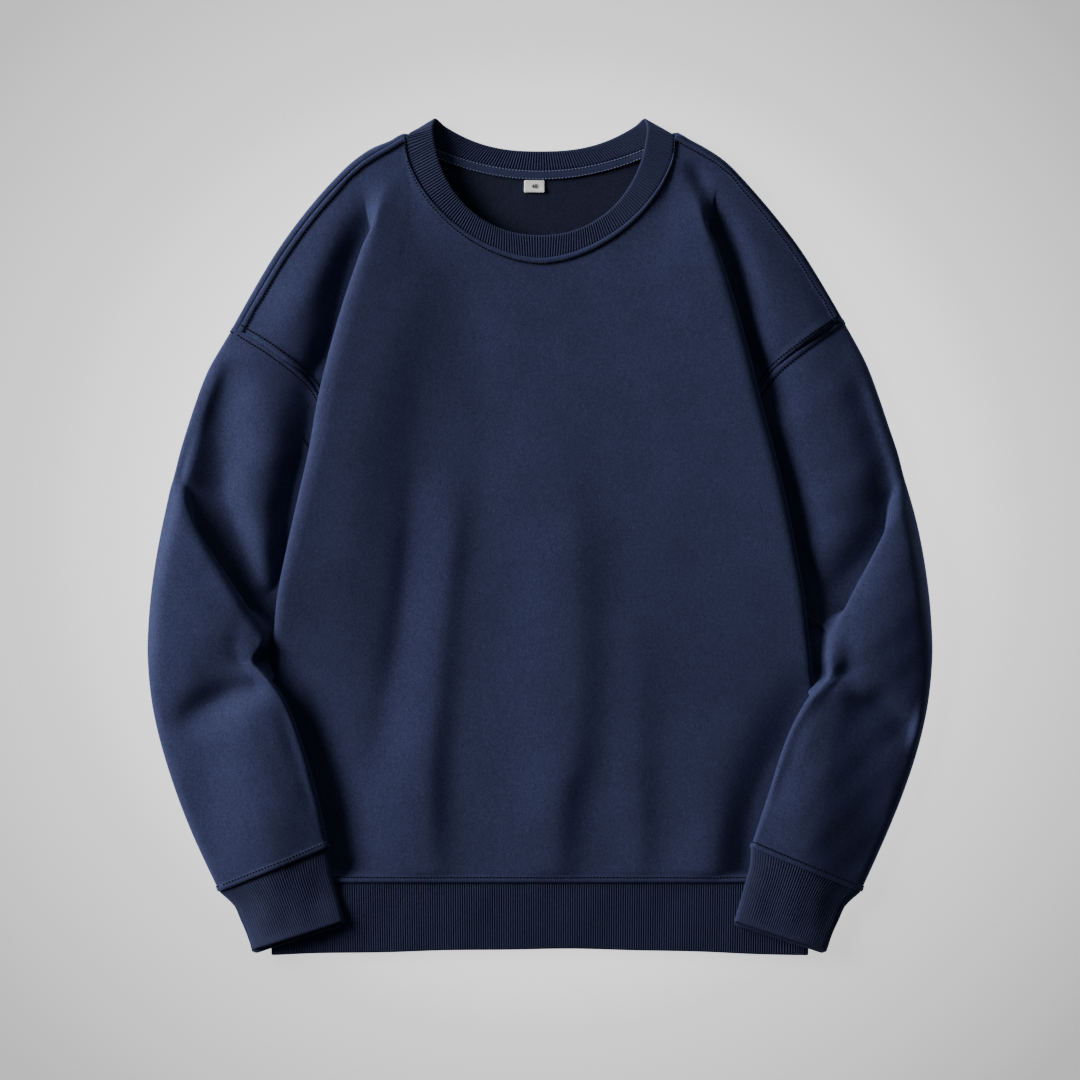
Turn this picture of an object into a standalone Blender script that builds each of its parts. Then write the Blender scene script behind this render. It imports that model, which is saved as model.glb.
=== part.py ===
"""Crewneck sweatshirt lying flat on its back, with both sleeves bent in over the body.

Each cut piece is a wall of cloth around a net of points: front, back, two sleeves, collar, two cuffs,
hem rib, neck tape and size label. Lengths below are millimetres. X runs across the body, Y from the
hem up to the neck and Z up from the surface that the garment lies on. "Out" is the distance from the
centre line towards a side. Side "left" is at -X and side "right" is at +X.
"""

import math

import bmesh
import bpy
import numpy as np

MM = 0.001

# Cloth and seams
FLEECE = 2.0
RIB = 2.8
TAPE = 1.0
LABEL = 0.8
SEAM_GAP = 0.3
FLOOR_LAYER = FLEECE / 2

# Body
UNDERARM_OUT = 163.6
UNDERARM_Y = 33.0
HEM_SEAM_Y = -300.2
HEM_SIDE_OUT = 212.0
SHOULDER_TIP_Z = 7.5
SHOULDER_NECK_Z = 9.8
ARMHOLE_LOW_Z = 5.0

# Collar: half width and depth of the neck seam and of the free edge
NECK_SEAM_HALF = 118.0
NECK_SEAM_TOP_Y = 349.5
NECK_SEAM_DEPTH = 106.0
NECK_SEAM_POWER = 1.75
NECK_EDGE_HALF = 93.5
NECK_EDGE_TOP_Y = 361.0
NECK_EDGE_DEPTH = 98.0
NECK_EDGE_POWER = 2.1
BACK_SEAM_Y = 319.7
BACK_SEAM_RISE = 33.5
BACK_SEAM_POWER = 2.0
BACK_EDGE_Y = 335.0
BACK_EDGE_RISE = 29.5
BACK_EDGE_POWER = 2.5
NECK_CENTRE_Z = 13.5

# Rib bands
HEM_RIB_DEPTH = 59.0
HEM_CORNER_DROP = 5.0
HEM_RIB_HALF = 233.0
NECK_TAPE_WIDTH = 7.4
LABEL_SIZE = (18.0, 10.8)
LABEL_X = -4.8

# Cloth colours as linear RGB
NAVY = (0.026, 0.034, 0.078)
NAVY_RIB = (0.021, 0.028, 0.066)
LABEL_WHITE = (0.82, 0.82, 0.80)

# Net of the front and back: places along the shoulder seam, tip to neck, and angles round half the neck
SHOULDER_STOPS = (0.0, 0.12, 0.26, 0.41, 0.56, 0.68, 0.73, 0.765, 0.795, 0.825, 0.85, 0.875, 0.9, 0.93, 1.0)
NECK_ANGLES = (11.0, 22.0, 34.0, 46.0, 57.0, 68.0, 79.0)
BACK_NECK_PARTS = (0.965, 0.89, 0.77, 0.63, 0.48, 0.32, 0.16)
APPROACH = 5
ROLL_IN = 9
TOP = 13
NECK_POINT = 14
CENTRE = NECK_POINT + 1 + len(NECK_ANGLES)
ARM_PARTS = (0.0, 0.06, 0.14, 0.24, 0.35, 0.46, 0.57, 0.68, 0.79, 0.9, 1.0)
BODY_PARTS = (0.03, 0.1, 0.2, 0.31, 0.39, 0.48, 0.6, 0.74, 0.87, 1.0)
BACK_ARM_PARTS = (0.2, 0.4, 0.6, 0.8, 1.0)
BACK_BODY_PARTS = (0.33, 0.67, 1.0)
SIDES = {"left": -1.0, "right": 1.0}


class Rows:
    """A short table: one row for each place along its first column, read on a curve that never overshoots."""

    def __init__(self, names, *rows):
        self.names = names.split()
        self.values = np.array(sorted(rows), dtype=float)

    def at(self, name, place):
        knots = self.values[:, 0]
        values = self.values[:, self.names.index(name)]
        place = np.clip(place, knots[0], knots[-1])
        step = np.diff(knots)
        slope = np.diff(values) / step
        tangent = np.zeros_like(values)
        tangent[0] = slope[0]
        tangent[-1] = slope[-1]
        for i in range(1, len(knots) - 1):
            if slope[i - 1] * slope[i] > 0.0:
                tangent[i] = 2.0 * slope[i - 1] * slope[i] / (slope[i - 1] + slope[i])
        i = int(np.clip(np.searchsorted(knots, place) - 1, 0, len(knots) - 2))
        t = (place - knots[i]) / step[i]
        return float(
            values[i] * (1 + 2 * t) * (1 - t) ** 2
            + tangent[i] * step[i] * t * (1 - t) ** 2
            + values[i + 1] * t * t * (3 - 2 * t)
            + tangent[i + 1] * step[i] * t * t * (t - 1)
        )


# Shoulder seams: out and y, from the neck to the armhole
SHOULDER = {
    "left": Rows("out y", (118.0, 349.5), (156.6, 326.0), (191.4, 290.5), (226.2, 244.0), (262.7, 181.0)),
    "right": Rows("out y", (118.0, 350.5), (156.6, 328.0), (191.4, 291.5), (226.2, 247.1), (261.0, 189.2)),
}
SHOULDER_ROLL = {"left": 6.0, "right": 4.0}

# Armhole seams in plan, from the shoulder seam to the underarm, part by part of their length
ARMHOLE = {
    "left": Rows("part out y", (0.0, 262.7, 181.0), (0.2, 232.0, 162.0), (0.43, 199.0, 133.5),
                 (0.7, 176.0, 88.0), (1.0, 163.6, 33.0)),
    "right": Rows("part out y", (0.0, 261.0, 189.2), (0.2, 230.0, 167.5), (0.43, 198.0, 139.0),
                  (0.7, 176.0, 91.0), (1.0, 163.6, 33.0)),
}
ARMHOLE_COVERED = 0.45
ARMHOLE_HUMP = 6.0

# Front panel at each side: the deep turn of its fold, the rolled edge, the height and radius of the roll
FOLD = {
    "left": Rows("y turn edge top radius",
                 (300.0, 146.0, 141.0, 15.0, 2.5), (284.0, 143.5, 145.0, 17.5, 3.2),
                 (268.0, 141.0, 149.5, 20.0, 4.0), (242.0, 138.0, 158.0, 22.0, 5.0),
                 (207.0, 138.0, 170.0, 23.5, 6.2), (164.0, 142.0, 182.5, 24.0, 6.8),
                 (120.0, 149.0, 193.0, 24.0, 6.8), (77.0, 155.0, 200.5, 23.5, 6.6),
                 (33.0, 156.5, 210.5, 22.5, 6.1),
                 (-10.0, 165.0, 220.0, 20.5, 5.5), (-54.0, 176.0, 229.0, 18.0, 4.6),
                 (-86.0, 186.0, 234.5, 14.5, 4.0), (-95.0, 188.0, 236.5, 11.5, 3.7),
                 (-105.0, 191.0, 242.0, 10.0, 3.5), (-115.0, 194.0, 245.0, 9.5, 3.5),
                 (-200.0, 210.0, 239.0, 9.0, 3.5),
                 (-300.2, 226.0, 234.5, 7.8, 3.4)),
    "right": Rows("y turn edge top radius",
                  (300.0, 146.0, 140.0, 15.0, 2.5), (284.0, 144.0, 143.0, 17.0, 2.8),
                  (268.0, 141.0, 148.5, 20.0, 4.0), (242.0, 138.0, 156.5, 22.0, 5.0),
                  (207.0, 138.0, 168.0, 23.5, 6.2), (164.0, 142.0, 180.5, 24.0, 6.8),
                  (120.0, 149.0, 192.0, 24.0, 6.8), (77.0, 155.0, 203.5, 23.5, 6.6),
                  (33.0, 156.5, 214.5, 22.5, 6.1),
                  (-10.0, 165.0, 223.0, 20.5, 5.5), (-54.0, 176.0, 231.0, 18.0, 4.6),
                  (-86.0, 186.0, 237.0, 14.5, 4.0), (-95.0, 188.0, 239.5, 11.5, 3.7),
                  (-105.0, 191.0, 245.0, 10.0, 3.5), (-115.0, 194.0, 249.0, 9.5, 3.5),
                  (-200.0, 210.0, 240.0, 9.0, 3.5),
                  (-300.2, 226.0, 234.5, 7.8, 3.4)),
}
CHEST = Rows("y z", (243.0, 13.5), (164.0, 15.0), (33.0, 14.0), (-100.0, 11.5), (-200.0, 9.8), (-300.2, 7.8))

# Soft drapes down the front: where they run across, how wide and how high, and between which levels
DRAPES = Rows("x width height from_y to_y",
              (-95.0, 22.0, 1.2, 120.0, -300.0), (-76.0, 20.0, -1.6, 150.0, -300.0),
              (-4.0, 34.0, 1.2, 60.0, -300.0), (46.0, 24.0, -1.4, 80.0, -300.0),
              (112.0, 30.0, 1.2, 40.0, -290.0))

# Sleeves, station by station from the armhole to the cuff: the outer and inner edge in plan, the height of
# the upper layer's hump, the part of the width that shows, how far the elbow fold slides the upper layer
# towards the cuff and lifts it, how much of the armhole's bow is left, and how far the turn at the inner
# edge reaches in under the upper layer
SLEEVE = {
    "left": Rows("station out out_y in in_y hump shows slide lift bow turn",
                 (0, 270.4, 179.2, 163.6, 33.0, 6.0, 0.45, 0.0, 0.0, 1.0, 2.2),
                 (1, 289.6, 144.4, 188.0, 2.0, 8.0, 0.66, 0.0, 0.0, 0.55, 2.2),
                 (2, 306.1, 98.3, 207.0, -30.0, 8.0, 0.78, 0.0, 0.0, 0.2, 2.2),
                 (3, 313.9, 72.2, 226.0, -58.3, 3.0, 0.9, 0.0, 0.0, 0.05, 2.2),
                 (4, 317.4, 58.0, 232.5, -69.0, 1.0, 0.95, 18.0, 0.0, 0.0, 2.2),
                 (5, 318.6, 53.6, 236.0, -73.0, 1.0, 0.95, 18.5, 2.4, 0.0, 2.2),
                 (6, 319.8, 49.2, 238.5, -77.0, 1.0, 1.0, 9.5, 5.0, 0.0, 2.6),
                 (7, 321.3, 44.4, 240.5, -81.0, 1.0, 1.0, 0.0, 7.5, 0.0, 3.6),
                 (8, 322.5, 39.7, 240.3, -85.5, 2.0, 1.0, 0.0, 10.0, 0.0, 2.6),
                 (9, 325.0, 28.0, 241.5, -93.0, 4.0, 1.0, 0.0, 9.5, 0.0, 2.0),
                 (10, 331.3, -1.7, 244.5, -101.0, 7.0, 1.0, 0.0, 6.0, 0.0, 2.6),
                 (11, 339.2, -53.9, 246.0, -107.0, 9.0, 1.0, 0.0, 2.0, 0.0, 4.0),
                 (12, 341.8, -97.4, 243.0, -114.0, 9.0, 1.0, 0.0, 0.0, 0.0, 3.0),
                 (13, 338.3, -140.9, 226.6, -136.1, 9.0, 1.0, 0.0, 0.0, 0.0, 2.2),
                 (14, 326.1, -193.1, 209.8, -177.5, 9.0, 1.0, 0.0, 0.0, 0.0, 2.2),
                 (15, 303.5, -255.8, 195.9, -225.3, 8.0, 1.0, 0.0, 0.0, 0.0, 2.2),
                 (16, 279.0, -308.0, 186.3, -269.7, 2.0, 1.0, 0.0, 0.0, 0.0, 2.2)),
    "right": Rows("station out out_y in in_y hump shows slide lift bow turn",
                  (0, 264.4, 188.8, 163.6, 33.0, 6.0, 0.45, 0.0, 0.0, 1.0, 2.2),
                  (1, 284.6, 150.5, 188.0, 2.0, 8.0, 0.66, 0.0, 0.0, 0.55, 2.2),
                  (2, 303.2, 98.3, 209.0, -30.0, 8.0, 0.78, 0.0, 0.0, 0.2, 2.2),
                  (3, 311.9, 72.2, 231.0, -58.3, 3.0, 0.9, 0.0, 0.0, 0.05, 2.2),
                  (4, 315.4, 58.0, 240.0, -69.0, 1.0, 0.95, 18.0, 0.0, 0.0, 4.1),
                  (5, 316.6, 53.6, 243.5, -73.0, 1.0, 0.95, 18.5, 2.4, 0.0, 6.7),
                  (6, 317.8, 49.2, 246.5, -77.0, 1.0, 1.0, 9.5, 5.0, 0.0, 8.4),
                  (7, 319.3, 44.4, 249.5, -81.0, 1.0, 1.0, 0.0, 7.5, 0.0, 10.2),
                  (8, 320.7, 39.7, 249.8, -86.0, 2.0, 1.0, 0.0, 10.0, 0.0, 9.2),
                  (9, 324.2, 28.0, 252.0, -95.0, 4.0, 1.0, 0.0, 9.5, 0.0, 9.0),
                  (10, 331.3, -1.7, 257.0, -103.0, 7.0, 1.0, 0.0, 6.0, 0.0, 14.0),
                  (11, 339.2, -53.9, 260.5, -111.0, 9.0, 1.0, 0.0, 2.0, 0.0, 13.5),
                  (12, 341.8, -97.4, 255.0, -121.0, 9.0, 1.0, 0.0, 0.0, 0.0, 8.0),
                  (13, 338.3, -140.9, 235.0, -139.0, 9.0, 1.0, 0.0, 0.0, 0.0, 2.2),
                  (14, 326.1, -193.1, 216.5, -176.5, 9.0, 1.0, 0.0, 0.0, 0.0, 2.2),
                  (15, 302.6, -255.8, 202.0, -221.5, 8.0, 1.0, 0.0, 0.0, 0.0, 2.2),
                  (16, 279.0, -308.0, 186.3, -269.7, 2.0, 1.0, 0.0, 0.0, 0.0, 2.2)),
}
SLEEVE_STATIONS = 17
SLEEVE_SEAM_PART = 0.05
ELBOW_SLIDE_WAY = (0.847, -0.532)
LAYER_RISE = 4.0
CUFF_RISE = 7.0
CLEAR_OF_BODY = 3.0
UNDERARM_EASE = 1.5

# Cuffs: opening edge in plan at each side, outer then inner end
CUFF_OPENING = {"left": ((250.0, -358.5), (171.5, -333.5)), "right": ((248.5, -358.5), (170.5, -333.5))}


def step(x):
    """A smooth rise from 0 to 1 as x goes from 0 to 1."""
    x = np.clip(x, 0.0, 1.0)
    return x * x * (3.0 - 2.0 * x)


def mix(a, b, t):
    return a + (b - a) * t


def unit(vector):
    return vector / max(np.linalg.norm(vector), 1e-9)


def normals(net, ring=False):
    """Outward normals of a net of points whose columns run clockwise round the garment's outside."""
    along = np.gradient(net, axis=0)
    if ring:
        across = np.roll(net, -1, axis=1) - np.roll(net, 1, axis=1)
    else:
        across = np.gradient(net, axis=1)
    out = np.cross(across, -along)
    return out / np.maximum(np.linalg.norm(out, axis=2, keepdims=True), 1e-9)


def finish(colour, name, roughness):
    material = bpy.data.materials.new(name)
    material.use_nodes = True
    shader = material.node_tree.nodes["Principled BSDF"]
    shader.inputs["Base Color"].default_value = (*colour, 1.0)
    shader.inputs["Roughness"].default_value = roughness
    shader.inputs["Metallic"].default_value = 0.0
    return material


def cloth(name, net, out, wall, material, ring=False):
    """Wall of cloth around a net of points, closed along its edges, as one named object."""
    rows, columns = net.shape[:2]
    mesh = bmesh.new()
    faces = {}
    for layer, sign in (("outer", 0.5), ("inner", -0.5)):
        skin = (net + out * wall * sign) * MM
        faces[layer] = [[mesh.verts.new(skin[r, c]) for c in range(columns)] for r in range(rows)]
    outer = faces["outer"]
    inner = faces["inner"]
    spans = columns if ring else columns - 1
    for r in range(rows - 1):
        for c in range(spans):
            d = (c + 1) % columns
            mesh.faces.new((outer[r][c], outer[r + 1][c], outer[r + 1][d], outer[r][d]))
            mesh.faces.new((inner[r][c], inner[r][d], inner[r + 1][d], inner[r + 1][c]))
    for c in range(spans):
        d = (c + 1) % columns
        mesh.faces.new((outer[0][c], outer[0][d], inner[0][d], inner[0][c]))
        mesh.faces.new((outer[-1][d], outer[-1][c], inner[-1][c], inner[-1][d]))
    if not ring:
        for r in range(rows - 1):
            mesh.faces.new((outer[r + 1][0], outer[r][0], inner[r][0], inner[r + 1][0]))
            mesh.faces.new((outer[r][-1], outer[r + 1][-1], inner[r + 1][-1], inner[r][-1]))
    bmesh.ops.recalc_face_normals(mesh, faces=mesh.faces)
    data = bpy.data.meshes.new(name)
    mesh.to_mesh(data)
    mesh.free()
    data.materials.append(material)
    data.shade_smooth()
    data.set_sharp_from_angle(angle=math.radians(50.0))
    piece = bpy.data.objects.new(name, data)
    bpy.context.scene.collection.objects.link(piece)
    return piece


def front_height(side, out, y):
    """Height of the front panel's upper layer, from the rolled edge to the centre, without the drapes."""
    fold = FOLD[side]
    top = fold.at("top", y)
    inside = fold.at("edge", y) - 1.7 * fold.at("radius", y)
    return mix(CHEST.at("z", y), top, np.clip(out / inside, 0.0, 1.0) ** 2.6)


def drape_height(x, y):
    height = 0.0
    for where, width, high, from_y, to_y in DRAPES.values:
        run = step((from_y - y) / 80.0) * step((y - to_y) / 50.0)
        height += high * run * math.exp(-(((x - where) / width) ** 2))
    return height


def neck_seam(angle):
    turn = math.radians(angle)
    power = 2.0 / NECK_SEAM_POWER
    out = NECK_SEAM_HALF * math.cos(turn) ** power
    return out, NECK_SEAM_TOP_Y - NECK_SEAM_DEPTH * math.sin(turn) ** power


def neck_edge(angle):
    turn = math.radians(angle)
    power = 2.0 / NECK_EDGE_POWER
    out = NECK_EDGE_HALF * max(math.cos(turn), 0.0) ** power
    return out, NECK_EDGE_TOP_Y - NECK_EDGE_DEPTH * math.sin(turn) ** power


def shoulder_point(side, part):
    seam = SHOULDER[side]
    tip = seam.values[-1, 0]
    out = mix(tip, NECK_SEAM_HALF, part)
    return np.array([out, seam.at("y", out), mix(SHOULDER_TIP_Z, SHOULDER_NECK_Z, step(part))])


def armhole_point(side, part, hump=True):
    seam = ARMHOLE[side]
    z = FLOOR_LAYER
    if hump:
        shown = part / ARMHOLE_COVERED
        z = mix(SHOULDER_TIP_Z, ARMHOLE_LOW_Z, min(shown, 1.0))
        if shown < 1.0:
            z += ARMHOLE_HUMP * math.sin(math.pi * shown)
    return np.array([seam.at("out", part), seam.at("y", part), z])


def side_seam_out(y):
    return mix(UNDERARM_OUT, HEM_SIDE_OUT, (UNDERARM_Y - y) / (UNDERARM_Y - HEM_SEAM_Y))


def front_tops(side):
    """Top end of each column of half the front: along the shoulder seam, then round the neck to its centre."""
    tops = [shoulder_point(side, part) for part in SHOULDER_STOPS]
    for angle in (*NECK_ANGLES, 90.0):
        out, y = neck_seam(angle)
        z = mix(SHOULDER_NECK_Z, NECK_CENTRE_Z, step(angle / 40.0))
        tops.append(np.array([out, y, z]))
    return np.array(tops)


def fold_points(side, y, start_out):
    """Columns of the side fold at a level: into the deep turn, out to the rolled edge and over its top."""
    fold = FOLD[side]
    turn = fold.at("turn", y)
    edge = fold.at("edge", y)
    top = fold.at("top", y)
    radius = fold.at("radius", y)
    low = mix(SHOULDER_NECK_Z, ARMHOLE_LOW_Z, step((edge - turn + 5.0) / 25.0))
    back = top - 2.0 * radius
    approach = turn + max(min(7.0, 0.6 * (start_out - turn)), 1.5)
    roll_in = max(edge - radius, turn)
    inside = edge - 1.6 * radius
    inside_z = front_height(side, inside, y)
    folded = np.array([
        [approach, y, low],
        [turn, y, (low + back) / 2],
        [turn + min(6.0, 0.3 * (roll_in - turn)), y, back],
        [mix(turn, roll_in, 0.65), y, back],
        [roll_in, y, back],
        [edge - 0.3 * radius, y, top - 1.7 * radius],
        [edge, y, top - radius],
        [edge - 0.3 * radius, y, top - 0.3 * radius],
        [inside, y, inside_z],
    ])
    if y <= UNDERARM_Y:
        return folded
    gentle = np.array([
        [mix(approach, inside, t), y, mix(low, inside_z, step(t))] for t in np.linspace(0.0, 1.0, len(folded))
    ])
    return mix(gentle, folded, step((edge - turn - 2.0) / 14.0))


def front_half_above(side, tops, part):
    """One row of half the front between its top edge and the underarm."""
    row = tops.copy()
    row[:, 1] = mix(tops[:, 1], UNDERARM_Y, part)
    start = armhole_point(side, part)
    opened = 1.0 - step((325.0 - row[APPROACH:TOP + 1, 1]) / 40.0)
    for k, i in enumerate(range(APPROACH, TOP + 1)):
        flat = np.array([tops[i, 0], row[i, 1], tops[i, 2] + 1.0 * step(part * 6.0)])
        row[i] = mix(fold_points(side, row[i, 1], start[0])[k], flat, opened[k])
    first = tops[0]
    last = tops[APPROACH]
    fade = (1.0 - part) ** 1.5
    edge = FOLD[side].at("edge", row[APPROACH, 1])
    shown = np.clip((start[0] - edge - 14.0) / max(start[0] - row[APPROACH, 0], 1.0), 0.05, 1.0)
    for i in range(APPROACH):
        t = i / APPROACH
        straight = mix(start, row[APPROACH], t)
        bend = tops[i] - mix(first, last, t)
        hump = ARMHOLE_HUMP * step(part * 5.0) * math.sin(math.pi * min(t / shown, 1.0))
        row[i] = straight + bend * fade + np.array([0.0, 0.0, hump * (1.0 - step((part - 0.3) / 0.15))])
    inner = row[TOP, 0]
    for i in range(NECK_POINT, CENTRE + 1):
        even = inner * (CENTRE - i) / (CENTRE - TOP)
        out = mix(tops[i, 0], even, step(part * 1.1))
        y = row[i, 1]
        height = front_height(side, out, y) + drape_height(SIDES[side] * out, y)
        row[i] = (out, y, mix(tops[i, 2], height, step(part * 3.0)))
    return row


def front_half_below(side, part):
    """One row of half the front between the underarm and the hem seam."""
    y = mix(UNDERARM_Y, HEM_SEAM_Y, part)
    row = np.zeros((CENTRE + 1, 3))
    seam = side_seam_out(y)
    row[APPROACH:TOP + 1] = fold_points(side, y, seam)
    roll_in = row[ROLL_IN]
    from_z = mix(ARMHOLE_LOW_Z, FLOOR_LAYER, step(part / 0.1))
    upright = [(seam + 0.1 * i, y, from_z + 0.18 * i) for i in range(APPROACH + 1)]
    upright.append((seam + 0.9, y, mix(from_z, roll_in[2], 0.55)))
    upright.append((seam + 2.0, y, roll_in[2]))
    upright.append((mix(seam, roll_in[0], 0.55), y, roll_in[2]))
    for i in range(ROLL_IN):
        t = i / ROLL_IN
        sloped = np.array([mix(seam, roll_in[0], t), y, mix(from_z, roll_in[2], step(t / 0.24))])
        row[i] = mix(np.array(upright[i]), sloped, step((part - 0.03) / 0.07))
    inner = row[TOP, 0]
    for i in range(NECK_POINT, CENTRE + 1):
        out = inner * (CENTRE - i) / (CENTRE - TOP)
        row[i] = (out, y, front_height(side, out, y) + drape_height(SIDES[side] * out, y))
    return row


def whole_row(halves):
    """Join the left and right half of a row at the centre and give it its real X."""
    left = halves["left"].copy()
    right = halves["right"].copy()
    left[:, 0] *= SIDES["left"]
    return np.vstack([left, right[-2::-1]])


def front_net():
    tops = {side: front_tops(side) for side in SIDES}
    rows = [whole_row({side: front_half_above(side, tops[side], part) for side in SIDES}) for part in ARM_PARTS]
    rows += [whole_row({side: front_half_below(side, part) for side in SIDES}) for part in BODY_PARTS]
    return np.array(rows)


def back_neck_upright(part):
    """How far the back's top edge has turned up round the shoulder fold, near the neck point."""
    return step((part - 0.9) / 0.06)


def back_neck_rise(part):
    return mix(1.8 * step((part - 0.6) / 0.3), (SHOULDER_NECK_Z - FLOOR_LAYER) * 0.55, back_neck_upright(part))


def back_half(side):
    """Half the back: its top edge lies on the shoulder, rolls over the fold and then lies on the floor."""
    tops = front_tops(side)
    roll = SHOULDER_ROLL[side]
    count = CENTRE + 1
    rows = np.zeros((4, count, 3))
    for i in range(NECK_POINT + 1):
        along = unit(tops[max(i - 1, 0)] - tops[min(i + 1, NECK_POINT)])
        over = np.array([-along[1], along[0], 0.0])
        reach = mix(roll - 1.0, 0.8, step((i - 8) / 6.0))
        middle = (tops[i, 2] + FLOOR_LAYER) / 2
        rows[0, i] = tops[i] + over * SEAM_GAP
        rows[1, i] = tops[i] + over * reach * 0.75
        rows[1, i, 2] = mix(tops[i, 2], middle, 0.3)
        rows[2, i] = tops[i] + over * reach
        rows[2, i, 2] = middle
        rows[3, i] = tops[i] + over * reach * 0.5
        rows[3, i, 2] = FLOOR_LAYER
    for k, part in enumerate((*BACK_NECK_PARTS, 0.0)):
        i = NECK_POINT + 1 + k
        out = NECK_SEAM_HALF * part
        y = BACK_SEAM_Y + BACK_SEAM_RISE * part ** BACK_SEAM_POWER
        upright = back_neck_upright(part)
        rise = back_neck_rise(part)
        for r in range(4):
            rows[r, i] = (out, y - mix(2.5, -0.2, upright) * r, FLOOR_LAYER + rise * (1.0 - r / 3.0))
    start = rows[3]
    level = np.array([(UNDERARM_OUT * (1.0 - i / CENTRE), UNDERARM_Y, FLOOR_LAYER) for i in range(count)])
    below = []
    for part in BACK_ARM_PARTS:
        row = mix(start, level, part)
        pull = armhole_point(side, part, hump=False) - row[0]
        for i in range(count):
            row[i] += pull * max(0.0, 1.0 - i / NECK_POINT) ** 1.2
        below.append(row)
    for part in BACK_BODY_PARTS:
        y = mix(UNDERARM_Y, HEM_SEAM_Y, part)
        below.append(np.array([
            (side_seam_out(y) * (1.0 - i / CENTRE), y, FLOOR_LAYER) for i in range(count)
        ]))
    net = np.concatenate([rows, np.array(below)])
    net[:, 0] += np.array([-SEAM_GAP, 0.0, 0.0]) * (np.arange(len(net)) > 3)[:, None]
    return net


def back_net():
    halves = {side: back_half(side) for side in SIDES}
    return np.array([whole_row({side: halves[side][r] for side in SIDES}) for r in range(len(halves["left"]))])


def under_sleeve(side, out, y):
    """Height of the sleeve's lower layer: on the floor outside the body and on the body inside its edge."""
    fold = FOLD[side]
    edge = fold.at("edge", y)
    body = front_height(side, min(out, edge), y) + CLEAR_OF_BODY
    over = 1.0 - step((out - edge - 5.0) / 28.0)
    return mix(FLOOR_LAYER, body, over * step((-84.0 - y) / 22.0))


def sleeve_ring(side, station, armhole_front, armhole_back):
    """Points round a flattened sleeve at one station: upper layer out to in, the turn, lower layer in to out."""
    rows = SLEEVE[side]

    def value(name):
        return rows.at(name, station)

    outer = np.array([value("out"), value("out_y")])
    inner = np.array([value("in"), value("in_y")])
    bow = value("bow")
    chord_from = np.array([SLEEVE[side].at("out", 0), SLEEVE[side].at("out_y", 0)])
    chord_to = np.array([UNDERARM_OUT, UNDERARM_Y])
    rise = CUFF_RISE if station == SLEEVE_STATIONS - 1 else LAYER_RISE
    ring = []
    for k, part in enumerate(ARM_PARTS):
        t = mix(SLEEVE_SEAM_PART, 1.0, part)
        place = mix(outer, inner, t)
        place += bow * (armhole_front[k][:2] - mix(chord_from, chord_to, t))
        slid = step((t - 0.1) / 0.35) * step((1.0 - t) / 0.22)
        lifted = step(t / 0.18) * step((1.0 - t) / 0.08)
        place += np.array(ELBOW_SLIDE_WAY) * value("slide") * slid
        low = under_sleeve(side, place[0], place[1])
        shown = min(t / value("shows"), 1.0)
        hump = value("hump") * math.sin(math.pi * shown)
        seam_lift = (SHOULDER_TIP_Z - FLOOR_LAYER - rise) * (1.0 - shown)
        ring.append((place[0], place[1], low + rise + max(seam_lift, 0.0) + hump + value("lift") * lifted))
    way = unit(outer - inner)
    turn = inner - mix(way, np.array([1.0, 0.0]), step((station - 3.0) / 2.0)) * value("turn")
    turn_z = under_sleeve(side, turn[0], turn[1]) + rise / 2
    ring.append((turn[0], turn[1], turn_z))
    for k, part in enumerate(reversed(BACK_ARM_PARTS)):
        place = mix(outer, inner, part)
        back = armhole_back[len(BACK_ARM_PARTS) - 1 - k][:2]
        place += bow * (back - mix(chord_from, chord_to, part))
        ring.append((place[0], place[1], under_sleeve(side, place[0], place[1])))
    full = max(rise, SHOULDER_TIP_Z - FLOOR_LAYER)
    for inset, height in ((3.0, 0.0), (0.0, 0.5), (1.2, 0.88)):
        place = outer - way * inset
        low = under_sleeve(side, place[0], place[1])
        ring.append((place[0], place[1], low + full * height))
    return np.array(ring)


def first_ring(side, front, front_out, back, back_out):
    """Armhole end of a sleeve, a seam gap away from the edges of the front and back."""
    column = 0 if side == "left" else -1
    beside = 1 if side == "left" else -2
    last = len(ARM_PARTS)
    ring = []
    out = []
    for r in range(last):
        edge = front[r, column]
        away = unit(edge - front[r, beside])
        ring.append(edge + away * SEAM_GAP)
        out.append(front_out[r, column])
    ease = np.array([SIDES[side] * UNDERARM_EASE, -UNDERARM_EASE, 0.0])
    ring[-1] = ring[-1] + ease
    turn = np.array([SIDES[side] * UNDERARM_OUT, UNDERARM_Y, (ARMHOLE_LOW_Z + FLOOR_LAYER) / 2]) + ease
    ring.append(turn)
    out.append(np.array([-SIDES[side], 0.0, 0.0]))
    for r in range(3 + len(BACK_ARM_PARTS), 0, -1):
        edge = back[r, column]
        away = unit(edge - back[r, beside])
        ring.append(edge + away * SEAM_GAP)
        out.append(back_out[r, column])
    ring[last + 1] = ring[last + 1] + ease
    return np.array(ring), np.array(out)


def sleeve_net(side, front, front_out, back, back_out):
    ring, ring_out = first_ring(side, front, front_out, back, back_out)
    armhole_front = [armhole_point(side, part) for part in ARM_PARTS]
    armhole_back = [armhole_point(side, part, hump=False) for part in BACK_ARM_PARTS]
    rings = []
    for station in range(1, SLEEVE_STATIONS):
        points = sleeve_ring(side, station, armhole_front, armhole_back)
        points[:, 0] *= SIDES[side]
        rings.append(points)
    net = np.array([ring, *rings])
    out = normals(net, ring=True) * -SIDES[side]
    out[0] = ring_out
    return net, out


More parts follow.
